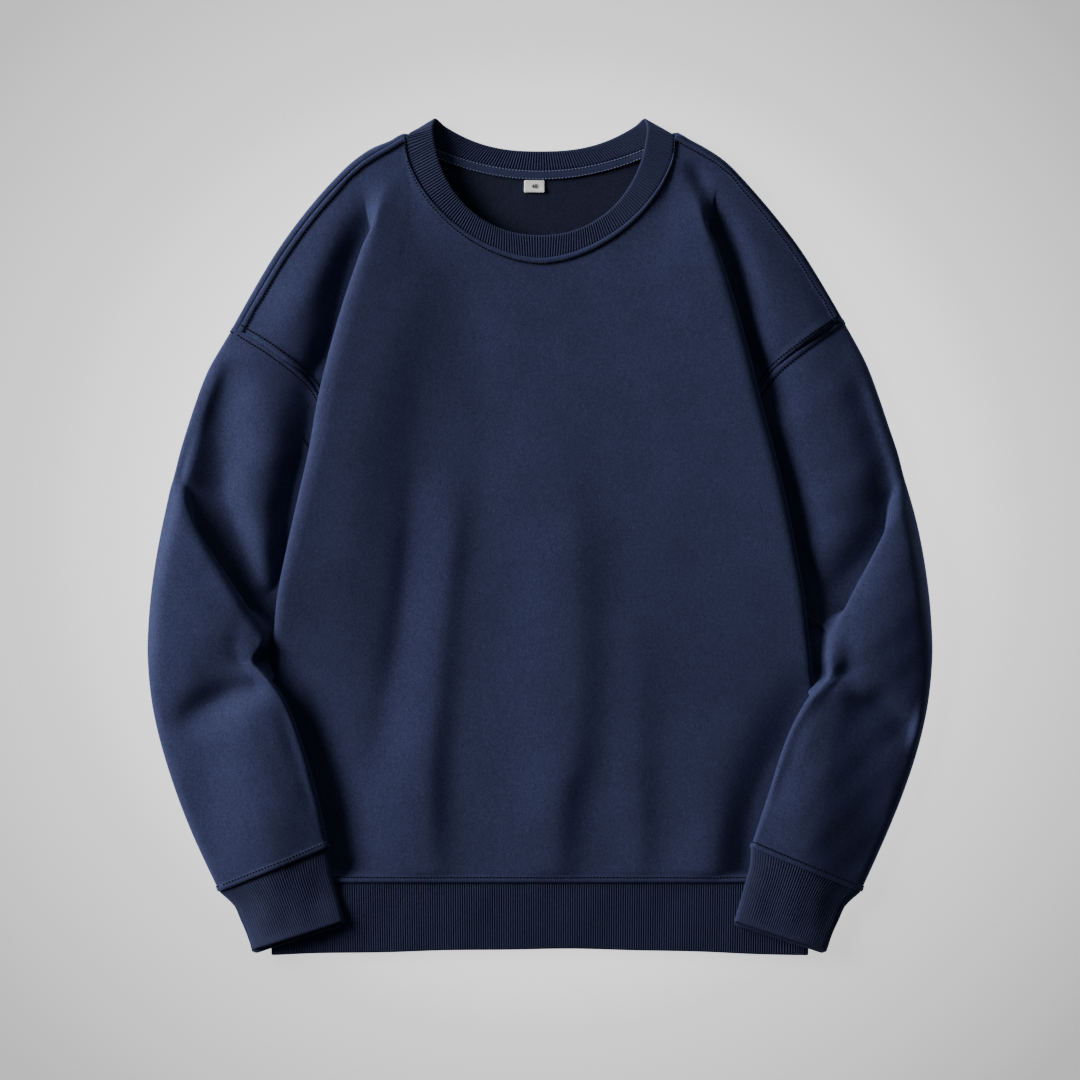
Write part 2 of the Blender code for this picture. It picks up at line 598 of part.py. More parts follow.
def cuff_net(side, sleeve, sleeve_out):
    """Rib cuff: a closed ring from the sleeve's end to the hand opening, its outer face flush at the seam."""
    start = sleeve[-1]
    away = np.array([unit(point - before) for point, before in zip(sleeve[-1], sleeve[-2])])
    seam = start + away * SEAM_GAP - sleeve_out[-1] * (RIB - FLEECE) / 2
    outer, inner = (np.array(place) for place in CUFF_OPENING[side])
    full_outer = seam[:, 0][np.argmax(np.abs(seam[:, 0]))]
    full_inner = seam[:, 0][np.argmin(np.abs(seam[:, 0]))]
    opening = seam.copy()
    for k, point in enumerate(seam):
        t = (point[0] - full_outer) / (full_inner - full_outer)
        place = mix(outer, inner, t)
        before = under_sleeve(side, abs(point[0]), point[1])
        opening[k] = (SIDES[side] * place[0], place[1], point[2] - before + under_sleeve(side, *place))
    middle = mix(seam, opening, 0.5)
    net = np.array([seam, middle, opening])
    out = normals(net, ring=True) * -SIDES[side]
    out[0] = sleeve_out[-1]
    return net, out


def hem_net(front, front_out, back, back_out):
    """Rib hem: a closed ring below the hem seam, upper layer left to right and lower layer right to left."""
    seam = np.vstack([front[-1], back[-1, -2:0:-1]])
    seam_out = np.vstack([front_out[-1], back_out[-1, -2:0:-1]])
    top = seam - seam_out * (RIB - FLEECE) / 2
    top[:, 1] -= SEAM_GAP
    widest = np.max(np.abs(top[:, 0]))
    rings = [top]
    for part in (0.5, 1.0):
        ring = top.copy()
        ring[:, 0] *= mix(1.0, HEM_RIB_HALF / widest, part)
        corner = (np.abs(ring[:, 0]) / HEM_RIB_HALF) ** 2
        ring[:, 1] = top[:, 1] - HEM_RIB_DEPTH * part - HEM_CORNER_DROP * part * corner
        rings.append(ring)
    net = np.array(rings)
    out = normals(net, ring=True)
    out[0] = seam_out
    return net, out


def collar_net(front, front_out, back, back_out):
    """Rib collar: a closed ring, seam edge to free edge, over the front, round the neck point, along the back."""
    first = NECK_POINT
    last = front.shape[1] - 1 - NECK_POINT
    seam = []
    out = []
    edge = []
    angles = (0.0, *NECK_ANGLES, 90.0)
    for c in range(first, last + 1):
        k = min(c - first, last - c)
        side = -1.0 if c - first <= last - c else 1.0
        away = unit(front[0, c] - front[1, c]) * SEAM_GAP
        if k == 0:
            away += np.array([-side * 0.9, 0.0, 0.7])
        seam.append(front[0, c] + away)
        out.append(front_out[0, c])
        free_out, free_y = neck_edge(max(angles[k], 5.0))
        lift = 1.0 + NECK_CENTRE_Z * 0.05 * step(angles[k] / 40.0)
        edge.append(np.array([side * free_out, free_y, front[0, c, 2] + lift]))
    for c in range(last - 1, first, -1):
        part = abs(back[0, c, 0]) / NECK_SEAM_HALF
        upright = back_neck_upright(part)
        away = unit(mix(back[0, c] - back[1, c], np.array([0.0, 0.0, 1.0]), upright))
        seam.append(back[0, c] + away * (SEAM_GAP + 1.3 * step((part - 0.75) / 0.2)))
        out.append(back_out[0, c])
        free = back[0, c, 0] * NECK_EDGE_HALF / NECK_SEAM_HALF
        y = BACK_EDGE_Y + BACK_EDGE_RISE * part ** BACK_EDGE_POWER
        edge.append(np.array([free, y + 0.8 * upright, RIB / 2 + back_neck_rise(part)]))
    seam = np.array(seam)
    out = np.array(out)
    edge = np.array(edge)
    seam = seam - out * (RIB - FLEECE) / 2
    net = np.array([edge, mix(seam, edge, 0.5), seam])
    normal = normals(net, ring=True)
    normal[-1] = out
    return net, normal


def tape_net(back):
    """Strip of body cloth along the inside of the back neck seam, lying on the back panel."""
    first = NECK_POINT + 2
    last = back.shape[1] - 1 - first
    height = FLOOR_LAYER + FLEECE / 2 + SEAM_GAP + TAPE / 2
    rows = []
    for inset in (0.8, NECK_TAPE_WIDTH):
        row = back[0, first:last + 1].copy()
        row[:, 1] -= inset
        row[:, 2] += height - FLOOR_LAYER
        rows.append(row)
    net = np.array(rows)
    return net, np.tile(np.array([0.0, 0.0, -1.0]), (*net.shape[:2], 1))


def label_net():
    width, height = LABEL_SIZE
    top = BACK_SEAM_Y - NECK_TAPE_WIDTH - SEAM_GAP
    z = FLOOR_LAYER + FLEECE / 2 + SEAM_GAP + LABEL / 2
    net = np.array([
        [(LABEL_X - width / 2, y, z), (LABEL_X + width / 2, y, z)] for y in (top, top - height)
    ])
    return net, np.tile(np.array([0.0, 0.0, -1.0]), (2, 2, 1))


def clear_scene():
    for thing in list(bpy.data.objects):
        bpy.data.objects.remove(thing, do_unlink=True)


def build():
    clear_scene()
    fleece = finish(NAVY, "navy_fleece", 0.92)
    rib = finish(NAVY_RIB, "navy_rib", 0.9)
    woven = finish(LABEL_WHITE, "woven_label", 0.7)
    front = front_net()
    front_out = normals(front)
    back = back_net()
    back_out = -normals(back)
    straight_down = np.array([0.0, 0.0, -1.0])
    for column in (0, -1):
        front_out[len(ARM_PARTS):, column] = straight_down
        back_out[4:, column] = straight_down
    back_out[0, :NECK_POINT + 1] = front_out[0, :NECK_POINT + 1]
    back_out[0, -NECK_POINT - 1:] = front_out[0, -NECK_POINT - 1:]
    cloth("front", front, front_out, FLEECE, fleece)
    cloth("back", back, back_out, FLEECE, fleece)
    for side in SIDES:
        sleeve, sleeve_out = sleeve_net(side, front, front_out, back, back_out)
        cloth("sleeve_" + side, sleeve, sleeve_out, FLEECE, fleece, ring=True)
        cuff, cuff_out = cuff_net(side, sleeve, sleeve_out)
        cloth("cuff_" + side, cuff, cuff_out, RIB, rib, ring=True)
    hem, hem_out = hem_net(front, front_out, back, back_out)
    cloth("hem_rib", hem, hem_out, RIB, rib, ring=True)
    collar, collar_out = collar_net(front, front_out, back, back_out)
    cloth("collar", collar, collar_out, RIB, rib, ring=True)
    cloth("neck_tape", *tape_net(back), TAPE, fleece)
    cloth("size_label", *label_net(), LABEL, woven)


build()
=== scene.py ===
"""Crewneck sweatshirt in navy sweatshirt fleece with 1x1 rib bands, laid flat, front up, sleeves bent in.

Cloth lengths are millimetres, and each skin is turned into metres as its mesh is made. X runs across the
body, Y from the hem up to the neck and Z up from the floor. "Out" is the distance from the centre line.
"""

import math

import bpy
import numpy as np
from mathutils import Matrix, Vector


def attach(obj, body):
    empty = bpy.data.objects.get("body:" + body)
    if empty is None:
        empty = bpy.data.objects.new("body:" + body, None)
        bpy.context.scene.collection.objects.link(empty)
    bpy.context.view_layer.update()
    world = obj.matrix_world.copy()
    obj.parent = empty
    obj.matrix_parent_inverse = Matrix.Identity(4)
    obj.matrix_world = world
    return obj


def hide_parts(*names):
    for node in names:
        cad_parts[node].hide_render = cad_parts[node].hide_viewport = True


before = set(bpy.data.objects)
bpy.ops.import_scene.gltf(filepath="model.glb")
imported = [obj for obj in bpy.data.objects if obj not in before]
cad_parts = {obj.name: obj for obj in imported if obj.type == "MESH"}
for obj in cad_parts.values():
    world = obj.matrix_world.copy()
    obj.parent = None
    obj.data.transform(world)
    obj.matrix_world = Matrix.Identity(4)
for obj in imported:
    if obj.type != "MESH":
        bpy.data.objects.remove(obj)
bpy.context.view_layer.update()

# ---- Table, lights and camera ----
# The garment lies on a pale grey table top. One wide soft light stands low at the upper left, so that every
# fold shows, and a weak one at the upper right opens the shadows. The table top also glows by itself with a
# painted pool of light. It is brightest round the garment and darker towards the corners, and it also pales
# the garment's shadow on the table. The camera looks straight down.
LENS = 0.15
SENSOR = 0.036
VIEW_WIDE = 0.9396
VIEW_CENTRE_Y = -0.0017
CLOTH_TOP = 0.012
ROOM_LIGHT = (0.9, 0.93, 1.0, 1.0)
ROOM_LIGHT_STRENGTH = 0.06
TABLE_HALF = 4.0
TABLE_GREY = (0.3, 0.3, 0.306)
PAINTED_LIGHT_POOL_REACH = 0.8
PAINTED_LIGHT_POOL_STRENGTH = 1.6
PAINTED_LIGHT_POOL_BLUE = 1.012
TABLE_DROP = 0.0002
# Levels of the table's painted pool of light, from its rim (place 0) in to its middle (place 1)
PAINTED_LIGHT_POOL_LEVELS = ((0.0, 0.275), (0.2, 0.3), (0.46, 0.62), (0.52, 0.77), (0.6, 0.94), (1.0, 0.97))


def look_at(thing, place, target):
    thing.location = place
    thing.rotation_euler = (Vector(target) - Vector(place)).to_track_quat("-Z", "Y").to_euler()


def soft_light(name, place, size, power, colour, target=(0.0, 0.0, 0.0)):
    lamp = bpy.data.lights.new(name, "AREA")
    lamp.shape = "RECTANGLE"
    lamp.size = size[0]
    lamp.size_y = size[1]
    lamp.energy = power
    lamp.color = colour
    thing = bpy.data.objects.new(name, lamp)
    bpy.context.scene.collection.objects.link(thing)
    look_at(thing, place, target)


camera_data = bpy.data.cameras.new("camera")
camera_data.lens = LENS * 1000.0
camera_data.sensor_width = SENSOR * 1000.0
camera_data.clip_end = 50.0
camera = bpy.data.objects.new("camera", camera_data)
bpy.context.scene.collection.objects.link(camera)
camera.location = (0.0, VIEW_CENTRE_Y, CLOTH_TOP + VIEW_WIDE * LENS / SENSOR)
bpy.context.scene.camera = camera

soft_light("key", (-4.56, 1.84, 1.72), (3.2, 1.6), 590.0, (1.0, 0.99, 0.97))
soft_light("fill", (0.8, 4.2, 1.4), (1.6, 1.2), 24.0, (0.97, 0.98, 1.0))
world = bpy.data.worlds.new("studio")
bpy.context.scene.world = world
world.use_nodes = True
world.node_tree.nodes["Background"].inputs["Color"].default_value = ROOM_LIGHT
world.node_tree.nodes["Background"].inputs["Strength"].default_value = ROOM_LIGHT_STRENGTH


def feed(node, inputs):
    """Give a node's inputs their values. A value that is another node's socket feeds the input."""
    for name, value in inputs.items():
        if isinstance(value, bpy.types.NodeSocket):
            node.id_data.links.new(value, node.inputs[name])
        else:
            node.inputs[name].default_value = value


def add_node(tree, kind, inputs, **settings):
    node = tree.nodes.new(kind)
    for name, value in settings.items():
        setattr(node, name, value)
    feed(node, inputs)
    return node


# The table glows by itself, though it is no lamp: its emission is a painted pool of light, brightest in the
# middle and fading outwards
painted_glow_table_material = bpy.data.materials.new("pale_table_painted_glow")
painted_glow_table_material.use_nodes = True
table_tree = painted_glow_table_material.node_tree
painted_pool_place = add_node(table_tree, "ShaderNodeTexCoord", {})
painted_pool_size = add_node(table_tree, "ShaderNodeMapping", {
    "Vector": painted_pool_place.outputs["Object"],
    "Scale": (1.0 / PAINTED_LIGHT_POOL_REACH, 1.0 / PAINTED_LIGHT_POOL_REACH, 1.0),
})
painted_light_pool = add_node(table_tree, "ShaderNodeTexGradient", {"Vector": painted_pool_size.outputs["Vector"]},
                gradient_type="SPHERICAL")
painted_pool_levels = add_node(table_tree, "ShaderNodeValToRGB", {"Fac": painted_light_pool.outputs["Fac"]})
for place, level in PAINTED_LIGHT_POOL_LEVELS[1:-1]:
    painted_pool_levels.color_ramp.elements.new(place)
for stop, (place, level) in zip(painted_pool_levels.color_ramp.elements, PAINTED_LIGHT_POOL_LEVELS):
    stop.position = place
    stop.color = (level, level, level * PAINTED_LIGHT_POOL_BLUE, 1.0)
feed(table_tree.nodes["Principled BSDF"], {
    "Base Color": (*TABLE_GREY, 1.0),
    "Roughness": 0.9,
    "Specular IOR Level": 0.1,
    "Emission Color": painted_pool_levels.outputs["Color"],
    "Emission Strength": PAINTED_LIGHT_POOL_STRENGTH,
})
table_mesh = bpy.data.meshes.new("table_top")
table_corners = [(x, y, -TABLE_DROP) for x, y in (
    (-TABLE_HALF, -TABLE_HALF), (TABLE_HALF, -TABLE_HALF), (TABLE_HALF, TABLE_HALF), (-TABLE_HALF, TABLE_HALF)
)]
table_mesh.from_pydata(table_corners, [], [(0, 1, 2, 3)])
table_mesh.materials.append(painted_glow_table_material)
table_top = bpy.data.objects.new("table_top", table_mesh)
bpy.context.scene.collection.objects.link(table_top)


# ---- Front ----
# One panel of sweatshirt fleece, knit face out and brushed inside, cut with a scooped neck. It is sewn to the
# back at the shoulders and sides. As it lies, the fullness of the body is folded under at both sides, so a
# rolled edge runs down from the neck to the hem, and the chest sags between soft drapes.
MM = 0.001
FLEECE = 2.0
FLOOR_LAYER = FLEECE / 2
NAVY = (0.0258, 0.0308, 0.0775)
# Brushed inside of the fleece, made much darker than the face: painted shade for the recess inside the neck
# opening
NAVY_INSIDE_PAINTED_SHADE = (0.0108, 0.0128, 0.0295)
NAP_TINT = (0.25, 0.36, 0.75, 1.0)
FIBRE_FINENESS = 760.0
FIBRE_TURN = 0.7
FIBRE_STRETCH = 0.45
CLOUD_FINENESS = 26.0
CLOUD_SHARE = 0.12
SIDES = {"left": -1.0, "right": 1.0}
UNDERARM_OUT = 163.6
UNDERARM_Y = 33.0
HEM_SEAM_Y = -300.2
HEM_SIDE_OUT = 212.0
SHOULDER_TIP_Z = 7.5
SHOULDER_NECK_Z = 9.8
ARMHOLE_LOW_Z = 5.0
NECK_SEAM_HALF = 118.0
NECK_SEAM_TOP_Y = 349.5
NECK_SEAM_DEPTH = 106.0
NECK_SEAM_POWER = 1.75
NECK_CENTRE_Z = 13.5
STITCH_IN = 5.0
# Steps of the cloth's net from a seam over its raised allowance, and between points elsewhere
WELT_STEPS = (0, 0.7, 1.5, 2.6, 3.8, 4.5, 5.1, 5.8, 6.9, 8.6)
SIDE_WELT_STEPS = (0, 1.5, 3.8, 5.1, 6.9)
FRONT_SPACING = 3.5
FOLD_DENSITY = 1.8
SEWN_SOFTENING = 4
CHEST_SOFTENING = 70

# Columns of half the front, from its outer edge: where the side fold starts, where it turns in, its top, the
# neck point and the centre. Up to the neck point they start at stops along the shoulder seam
SHOULDER_STOPS = (0, 0.12, 0.26, 0.41, 0.56, 0.68, 0.73, 0.765, 0.795, 0.825, 0.85, 0.875, 0.9, 0.93, 1)
NECK_ANGLES = (11, 22, 34, 46, 57, 68, 79)
APPROACH = 5
ROLL_IN = 9
TOP = 13
NECK_POINT = 14
CENTRE = NECK_POINT + 1 + len(NECK_ANGLES)
ARM_ROWS = 33
ARM_PARTS = np.linspace(0.0, 1.0, ARM_ROWS)
BODY_PARTS = np.array((0.015, 0.03, 0.06, 0.1, 0.15, 0.2, 0.25, 0.31, 0.35, 0.39, 0.43, 0.48, 0.54, 0.6, 0.67,
                       0.74, 0.8, 0.87, 0.94, 1.0))


def read_curve(knots, values, places):
    """Read a smooth curve through values, spaced by knots, at some places. It never overshoots a value."""
    knots = np.asarray(knots, dtype=float)
    values = np.asarray(values, dtype=float)
    wide = (-1,) + (1,) * (values.ndim - 1)
    slope = np.diff(values, axis=0) / np.diff(knots).reshape(wide)
    tangent = np.zeros_like(values)
    tangent[0] = slope[0]
    tangent[-1] = slope[-1]
    same_way = slope[:-1] * slope[1:] > 0.0
    total = np.where(same_way, slope[:-1] + slope[1:], 1.0)
    tangent[1:-1] = np.where(same_way, 2.0 * slope[:-1] * slope[1:] / total, 0.0)
    places = np.clip(np.asarray(places, dtype=float), knots[0], knots[-1])
    i = np.clip(np.searchsorted(knots, places) - 1, 0, len(knots) - 2)
    gap = knots[i + 1] - knots[i]
    t = (places - knots[i]) / gap
    if values.ndim > 1:
        t = t.reshape(t.shape + (1,) * (values.ndim - 1))
        gap = gap.reshape(t.shape)
    return (
        values[i] * (1 + 2 * t) * (1 - t) ** 2
        + tangent[i] * gap * t * (1 - t) ** 2
        + values[i + 1] * t * t * (3 - 2 * t)
        + tangent[i + 1] * gap * t * t * (t - 1)
    )


class Rows:
    """A short table: one row for each place along its first column, read on a smooth curve."""

    def __init__(self, names, *rows):
        self.names = names.split()
        self.values = np.array(sorted(rows), dtype=float)

    def at(self, name, place):
        return read_curve(self.values[:, 0], self.values[:, self.names.index(name)], place)


def soft_line(*rows):
    """A drape or crease: rows of part, x, y, height and its width, or its widths to the left and right."""
    return Rows("part x y height width" if len(rows[0]) == 5 else "part x y height left right", *rows)


def step(x):
    """A smooth rise from 0 to 1 as x goes from 0 to 1."""
    x = np.clip(x, 0.0, 1.0)
    return x * x * (3.0 - 2.0 * x)


def mix(a, b, t):
    return a + (b - a) * t


# Shoulder seams: out and y, from the neck to the armhole
SHOULDER = {
    "left": Rows("out y", (118, 349.5), (156.6, 326), (191.4, 290.5), (226.2, 244), (262.7, 181)),
    "right": Rows("out y", (118, 350.5), (156.6, 328), (191.4, 291.5), (226.2, 247.1), (261, 189.2)),
}
# Armhole seams in plan, from the shoulder seam to the underarm
ARMHOLE = {
    "left": Rows("part out y", (0, 262.7, 181), (0.2, 232, 162), (0.43, 199, 133.5), (0.7, 176, 88),
                 (1, 163.6, 33)),
    "right": Rows("part out y", (0, 261, 189.2), (0.2, 230, 167.5), (0.43, 198, 139), (0.7, 176, 91),
                  (1, 163.6, 33)),
}
ARMHOLE_COVERED = 0.45
ARMHOLE_HUMP = {"left": 6.0, "right": 7.0}
SHOULDER_HUMP = {"left": 6.0, "right": 3.0}

# The fold at each side: its deep turn, the rolled edge, the height and radius of the roll
FOLD = {
    "left": Rows("y turn edge top radius", (300, 146, 141, 15, 2.5), (284, 143.5, 145, 17.5, 3.2),
                 (268, 141, 149.5, 20, 4), (242, 138, 158, 22, 5), (207, 138, 170, 23.5, 6.2),
                 (164, 142, 182.5, 24, 6.8), (120, 149, 193, 24, 6.8), (77, 155, 200.5, 23.5, 6.6),
                 (33, 156.5, 210.5, 22.5, 6.1), (-10, 165, 220, 20.5, 5.5), (-54, 176, 228.5, 18, 4.6),
                 (-86, 186, 231.5, 15, 4.2), (-105, 191, 233.5, 13, 3.9), (-140, 199, 236.5, 10, 3.5),
                 (-200, 210, 239, 8.5, 3.5), (-300.2, 226, 234.5, 7.8, 3.4)),
    "right": Rows("y turn edge top radius", (300, 146, 140, 15, 2.5), (284, 144, 143, 16.5, 2.8),
                  (268, 141, 149, 18, 3.8), (242, 138, 157.5, 18.8, 4.5), (207, 138, 169, 19.5, 5.2),
                  (164, 142, 181, 19.2, 5.4), (120, 149, 192, 18.6, 5.4), (77, 155, 203.5, 18, 5.2),
                  (33, 156.5, 214, 17.4, 5), (-10, 165, 222.5, 16.6, 4.7), (-54, 176, 230, 15.4, 4.3),
                  (-86, 186, 233.5, 14, 4.1), (-105, 191, 235.5, 13, 3.9), (-140, 199, 239, 10, 3.5),
                  (-200, 210, 240, 9, 3.5), (-300.2, 226, 234.5, 7.8, 3.4)),
}
CHEST = Rows("y z", (243, 13), (164, 12.5), (33, 12), (-100, 10.5), (-200, 9.4), (-300.2, 7.8))

# Drapes and hollows of the front: each is a soft line from its first place to its last, a ridge where its
# height is above 0 and a trough where it is below, with its own width to the left and to the right
FRONT_LINES = (
    soft_line((0, -60, 262, 0, 30, 26), (0.35, -64, 180, -1.8, 34, 30), (0.75, -62, 80, -2, 34, 30),
              (1, -50, 0, 0, 30, 26)),
    soft_line((0, -96, 170, 0, 20, 28), (0.15, -103, 90, -1, 18, 28), (0.28, -109, 30, -2.4, 15, 28),
              (0.38, -112, -10, -3.5, 14, 28), (0.6, -122, -98, -4, 15, 30),
              (0.8, -133, -160, -2.6, 17, 28), (1, -144, -230, 0, 18, 24)),
    soft_line((0, -66, 170, 0, 30, 24), (0.14, -70, 95, 0.7, 30, 21), (0.25, -75, 35, 1.8, 32, 17),
              (0.34, -79, -10, 3.4, 34, 14), (0.46, -85, -60, 3.4, 34, 14.5),
              (0.65, -93, -140, 4.3, 38, 15.6), (0.85, -99, -228, 4.7, 39, 15.8),
              (1, -94, -298, 2, 22, 17)),
    soft_line((0, 12, 170, 0, 44, 30), (0.14, 16, 95, 0.9, 44, 28), (0.26, 21, 30, 2.4, 44, 26),
              (0.36, 25, -10, 3.9, 44, 25), (0.6, 31, -100, 4.8, 44, 24), (0.8, 26, -186, 5, 42, 22),
              (0.9, 15, -228, 5, 36, 18), (1, 13, -298, 2, 34, 17)),
    soft_line((0, 78, -60, 0, 26, 22), (0.35, 82, -110, 1.2, 26, 20), (0.7, 86, -215, 2.2, 22, 14),
              (1, 86, -298, 1.4, 20, 13)),
    soft_line((0, -234, -100, -3, 14, 20), (0.15, -226, -130, -5.5, 14, 28),
              (0.3, -212, -160, -5.6, 16, 30), (0.7, -182, -235, -5.4, 18, 32),
              (1, -170, -292, -4.6, 18, 28)),
    soft_line((0, -120, 225, 0, 24, 24), (0.2, -128, 180, 1.8, 30, 28), (0.4, -146, 110, 2.4, 34, 28),
              (0.65, -160, 30, 2.4, 32, 28), (1, -170, -90, 0.8, 26, 24)),
    soft_line((0, 244, -112, 0, 20, 20), (0.3, 222, -160, -5, 24, 20), (0.7, 198, -235, -7, 26, 20),
              (1, 187, -292, -6.5, 20, 20)),
    soft_line((0, 130, 330, 0, 8), (0.5, 139, 312, -3.4, 9), (1, 150, 288, 0, 10)),
    soft_line((0, 190, -120, 0, 26, 24), (0.5, 160, -200, 1.6, 30, 20), (0.85, 150, -270, 3.6, 28, 16),
              (1, 146, -298, 3.2, 28, 16)),
)


# The same outside the body's fold, on the flat part of the front that reaches the shoulder seams and armholes
OUTBOARD_LINES = (
    soft_line((0, -146, 292, 0, 12, 10), (0.25, -158, 262, -4, 15, 12), (0.6, -176, 207, -6, 18, 14),
              (1, -190, 140, -5, 24, 16)),
    soft_line((0, 142, 302, 0, 12, 10), (0.25, 160, 262, -5, 12, 13), (0.6, 174, 207, -3.5, 12, 14),
              (1, 186, 140, -2, 12, 16)),
    soft_line((0, 214, 268, 0, 16, 18), (0.5, 244, 214, 1.8, 24, 16), (1, 252, 186, 1.6, 24, 14)),
)


def line_height(x, y, lines):
    """Height that soft ridges and troughs add at points in plan."""
    height = np.zeros_like(x)
    parts = np.linspace(0.0, 1.0, 41)
    flat_x = x.ravel()
    flat_y = y.ravel()
    for line in lines:
        path_x = line.at("x", parts)
        path_y = line.at("y", parts)
        best = np.full(flat_x.shape, 1e12)
        place = np.zeros(flat_x.shape)
        at_right = np.zeros(flat_x.shape, dtype=bool)
        for i in range(len(parts) - 1):
            run = np.array([path_x[i + 1] - path_x[i], path_y[i + 1] - path_y[i]])
            t = ((flat_x - path_x[i]) * run[0] + (flat_y - path_y[i]) * run[1]) / (run @ run)
            t = np.clip(t, 0.0, 1.0)
            away = (flat_x - path_x[i] - t * run[0]) ** 2 + (flat_y - path_y[i] - t * run[1]) ** 2
            nearer = away < best
            best = np.where(nearer, away, best)
            place = np.where(nearer, mix(parts[i], parts[i + 1], t), place)
            at_right = np.where(nearer, flat_x > path_x[i] + t * run[0], at_right)
        if "width" in line.names:
            width = line.at("width", place)
        else:
            width = np.where(at_right, line.at("right", place), line.at("left", place))
        height += (line.at("height", place) * np.exp(-best / width ** 2)).reshape(x.shape)
    return height


def unevenness(net, height, length, shift):
    """Slight waviness that handled cloth always has, from a few crossing waves."""
    total = np.zeros(net.shape[:2])
    for k in range(7):
        turn = shift + 2.4 * k
        wave = 2.0 * math.pi / (length * (0.6 + 0.23 * k))
        along = net[..., 0] * math.cos(turn) + net[..., 1] * math.sin(turn) + net[..., 2] * 1.5
        total += np.sin(along * wave + shift * 3.1 + k * 1.7)
    return total * height / 7.0 ** 0.5


def stops(net, axis, size, near_start=(), near_end=(), weight=None):
    """Places along a net's rows or columns at even steps of its mean length, with extra ones by its ends."""
    lengths = np.linalg.norm(np.diff(net, axis=axis), axis=2).mean(axis=1 - axis)
    weighed = lengths if weight is None else lengths * weight
    true = np.concatenate([[0.0], np.cumsum(lengths)])
    along = np.concatenate([[0.0], np.cumsum(weighed)])
    places = np.arange(len(along))
    first = np.interp(near_start, true, places) if len(near_start) else np.array([0.0])
    last = np.interp(true[-1] - np.array(near_end[::-1]), true, places) if len(near_end) else places[-1:]
    begin = np.interp(first[-1], places, along)
    end = np.interp(last[0], places, along)
    count = max(int(round((end - begin) / size)), 2)
    even = np.interp(np.linspace(begin, end, count + 1)[1:-1], along, places)
    return np.concatenate([first, even, last])


def refine(net, rows, columns, ring=False):
    """Read a net at fractional rows and columns, on smooth curves."""
    fine = read_curve(np.arange(net.shape[0]), net, rows)
    turned = np.swapaxes(fine, 0, 1)
    if ring:
        turned = np.concatenate([turned[-3:], turned, turned[:4]])
        columns = columns + 3.0
    return np.swapaxes(read_curve(np.arange(turned.shape[0]), turned, columns), 0, 1)


def soften(net, times, ring=False):
    """Round off a net's angles, leaving rows at its two ends, and its side columns, where they are."""
    net = net.copy()
    for _ in range(times):
        if ring:
            beside = (np.roll(net, 1, axis=1) + np.roll(net, -1, axis=1)) / 2
        else:
            beside = net.copy()
            beside[:, 1:-1] = (net[:, 2:] + net[:, :-2]) / 2
        middle = (net[2:] + net[:-2]) / 4 + beside[1:-1] / 2
        calm = mix(net[1:-1], middle, 0.5)
        if not ring:
            calm[:, 0] = net[1:-1, 0]
            calm[:, -1] = net[1:-1, -1]
        net[1:-1] = calm
    return net


def normals(net, ring=False):
    """Outward normals of a net of points whose columns run clockwise round the garment's outside."""
    along = np.gradient(net, axis=0)
    if ring:
        across = np.roll(net, -1, axis=1) - np.roll(net, 1, axis=1)
    else:
        across = np.gradient(net, axis=1)
    out = np.cross(across, -along)
    return out / np.maximum(np.linalg.norm(out, axis=2, keepdims=True), 1e-9)


def edge_distance(net, end):
    """Distance of each point of a net from its top, bottom, left or right edge, along the cloth."""
    axis = 0 if end in ("top", "bottom") else 1
    lengths = np.linalg.norm(np.diff(net, axis=axis), axis=2)
    start = np.zeros_like(lengths[:1] if axis == 0 else lengths[:, :1])
    total = np.concatenate([start, np.cumsum(lengths, axis=axis)], axis=axis)
    if end == "top" or end == "left":
        return total
    return (total[-1:] if axis == 0 else total[:, -1:]) - total


def welt(distance, tall=1.25):
    """Relief of a seam with its allowance on this side: sunk at the seam, raised, pinched at the stitches."""
    raised = tall * step((STITCH_IN + 1.4 - distance) / 2.0)
    sunk = -0.6 * np.exp(-((distance / 0.8) ** 2))
    pinch = -0.5 * np.exp(-(((distance - STITCH_IN) / 0.9) ** 2))
    return raised + sunk + pinch


def away_from(net, **reaches):
    """A share that is 0 at each named edge of a net and reaches 1 as far in as that edge's value."""
    share = 1.0
    for end, reach in reaches.items():
        share = share * step(edge_distance(net, end) / reach)
    return share




def front_height(side, out, y):
    """Height of the front panel's upper layer, from the rolled edge to the centre, without the drapes."""
    fold = FOLD[side]
    inside = fold.at("edge", y) - 1.7 * fold.at("radius", y)
    return mix(CHEST.at("z", y), fold.at("top", y), np.clip(out / inside, 0.0, 1.0) ** 1.9)


def neck_seam(angle):
    turn = math.radians(angle)
    power = 2.0 / NECK_SEAM_POWER
    out = NECK_SEAM_HALF * math.cos(turn) ** power
    return out, NECK_SEAM_TOP_Y - NECK_SEAM_DEPTH * math.sin(turn) ** power


def shoulder_point(side, part):
    seam = SHOULDER[side]
    out = mix(seam.values[-1, 0], NECK_SEAM_HALF, part)
    return np.array([out, seam.at("y", out), mix(SHOULDER_TIP_Z, SHOULDER_NECK_Z, step(part))])


def armhole_point(side, part, hump=True):
    seam = ARMHOLE[side]
    z = FLOOR_LAYER
    if hump:
        shown = part / ARMHOLE_COVERED
        z = mix(SHOULDER_TIP_Z, ARMHOLE_LOW_Z, min(shown, 1.0))
        if shown < 1.0:
            z += ARMHOLE_HUMP[side] * math.sin(math.pi * shown)
    return np.array([seam.at("out", part), seam.at("y", part), z])


def side_seam_out(y):
    return mix(UNDERARM_OUT, HEM_SIDE_OUT, (UNDERARM_Y - y) / (UNDERARM_Y - HEM_SEAM_Y))


def front_tops(side):
    """Top end of each column of half the front: along the shoulder seam, then round the neck."""
    tops = [shoulder_point(side, part) for part in SHOULDER_STOPS]
    for angle in (*NECK_ANGLES, 90.0):
        out, y = neck_seam(angle)
        tops.append(np.array([out, y, mix(SHOULDER_NECK_Z, NECK_CENTRE_Z, step(angle / 40.0))]))
    return np.array(tops)


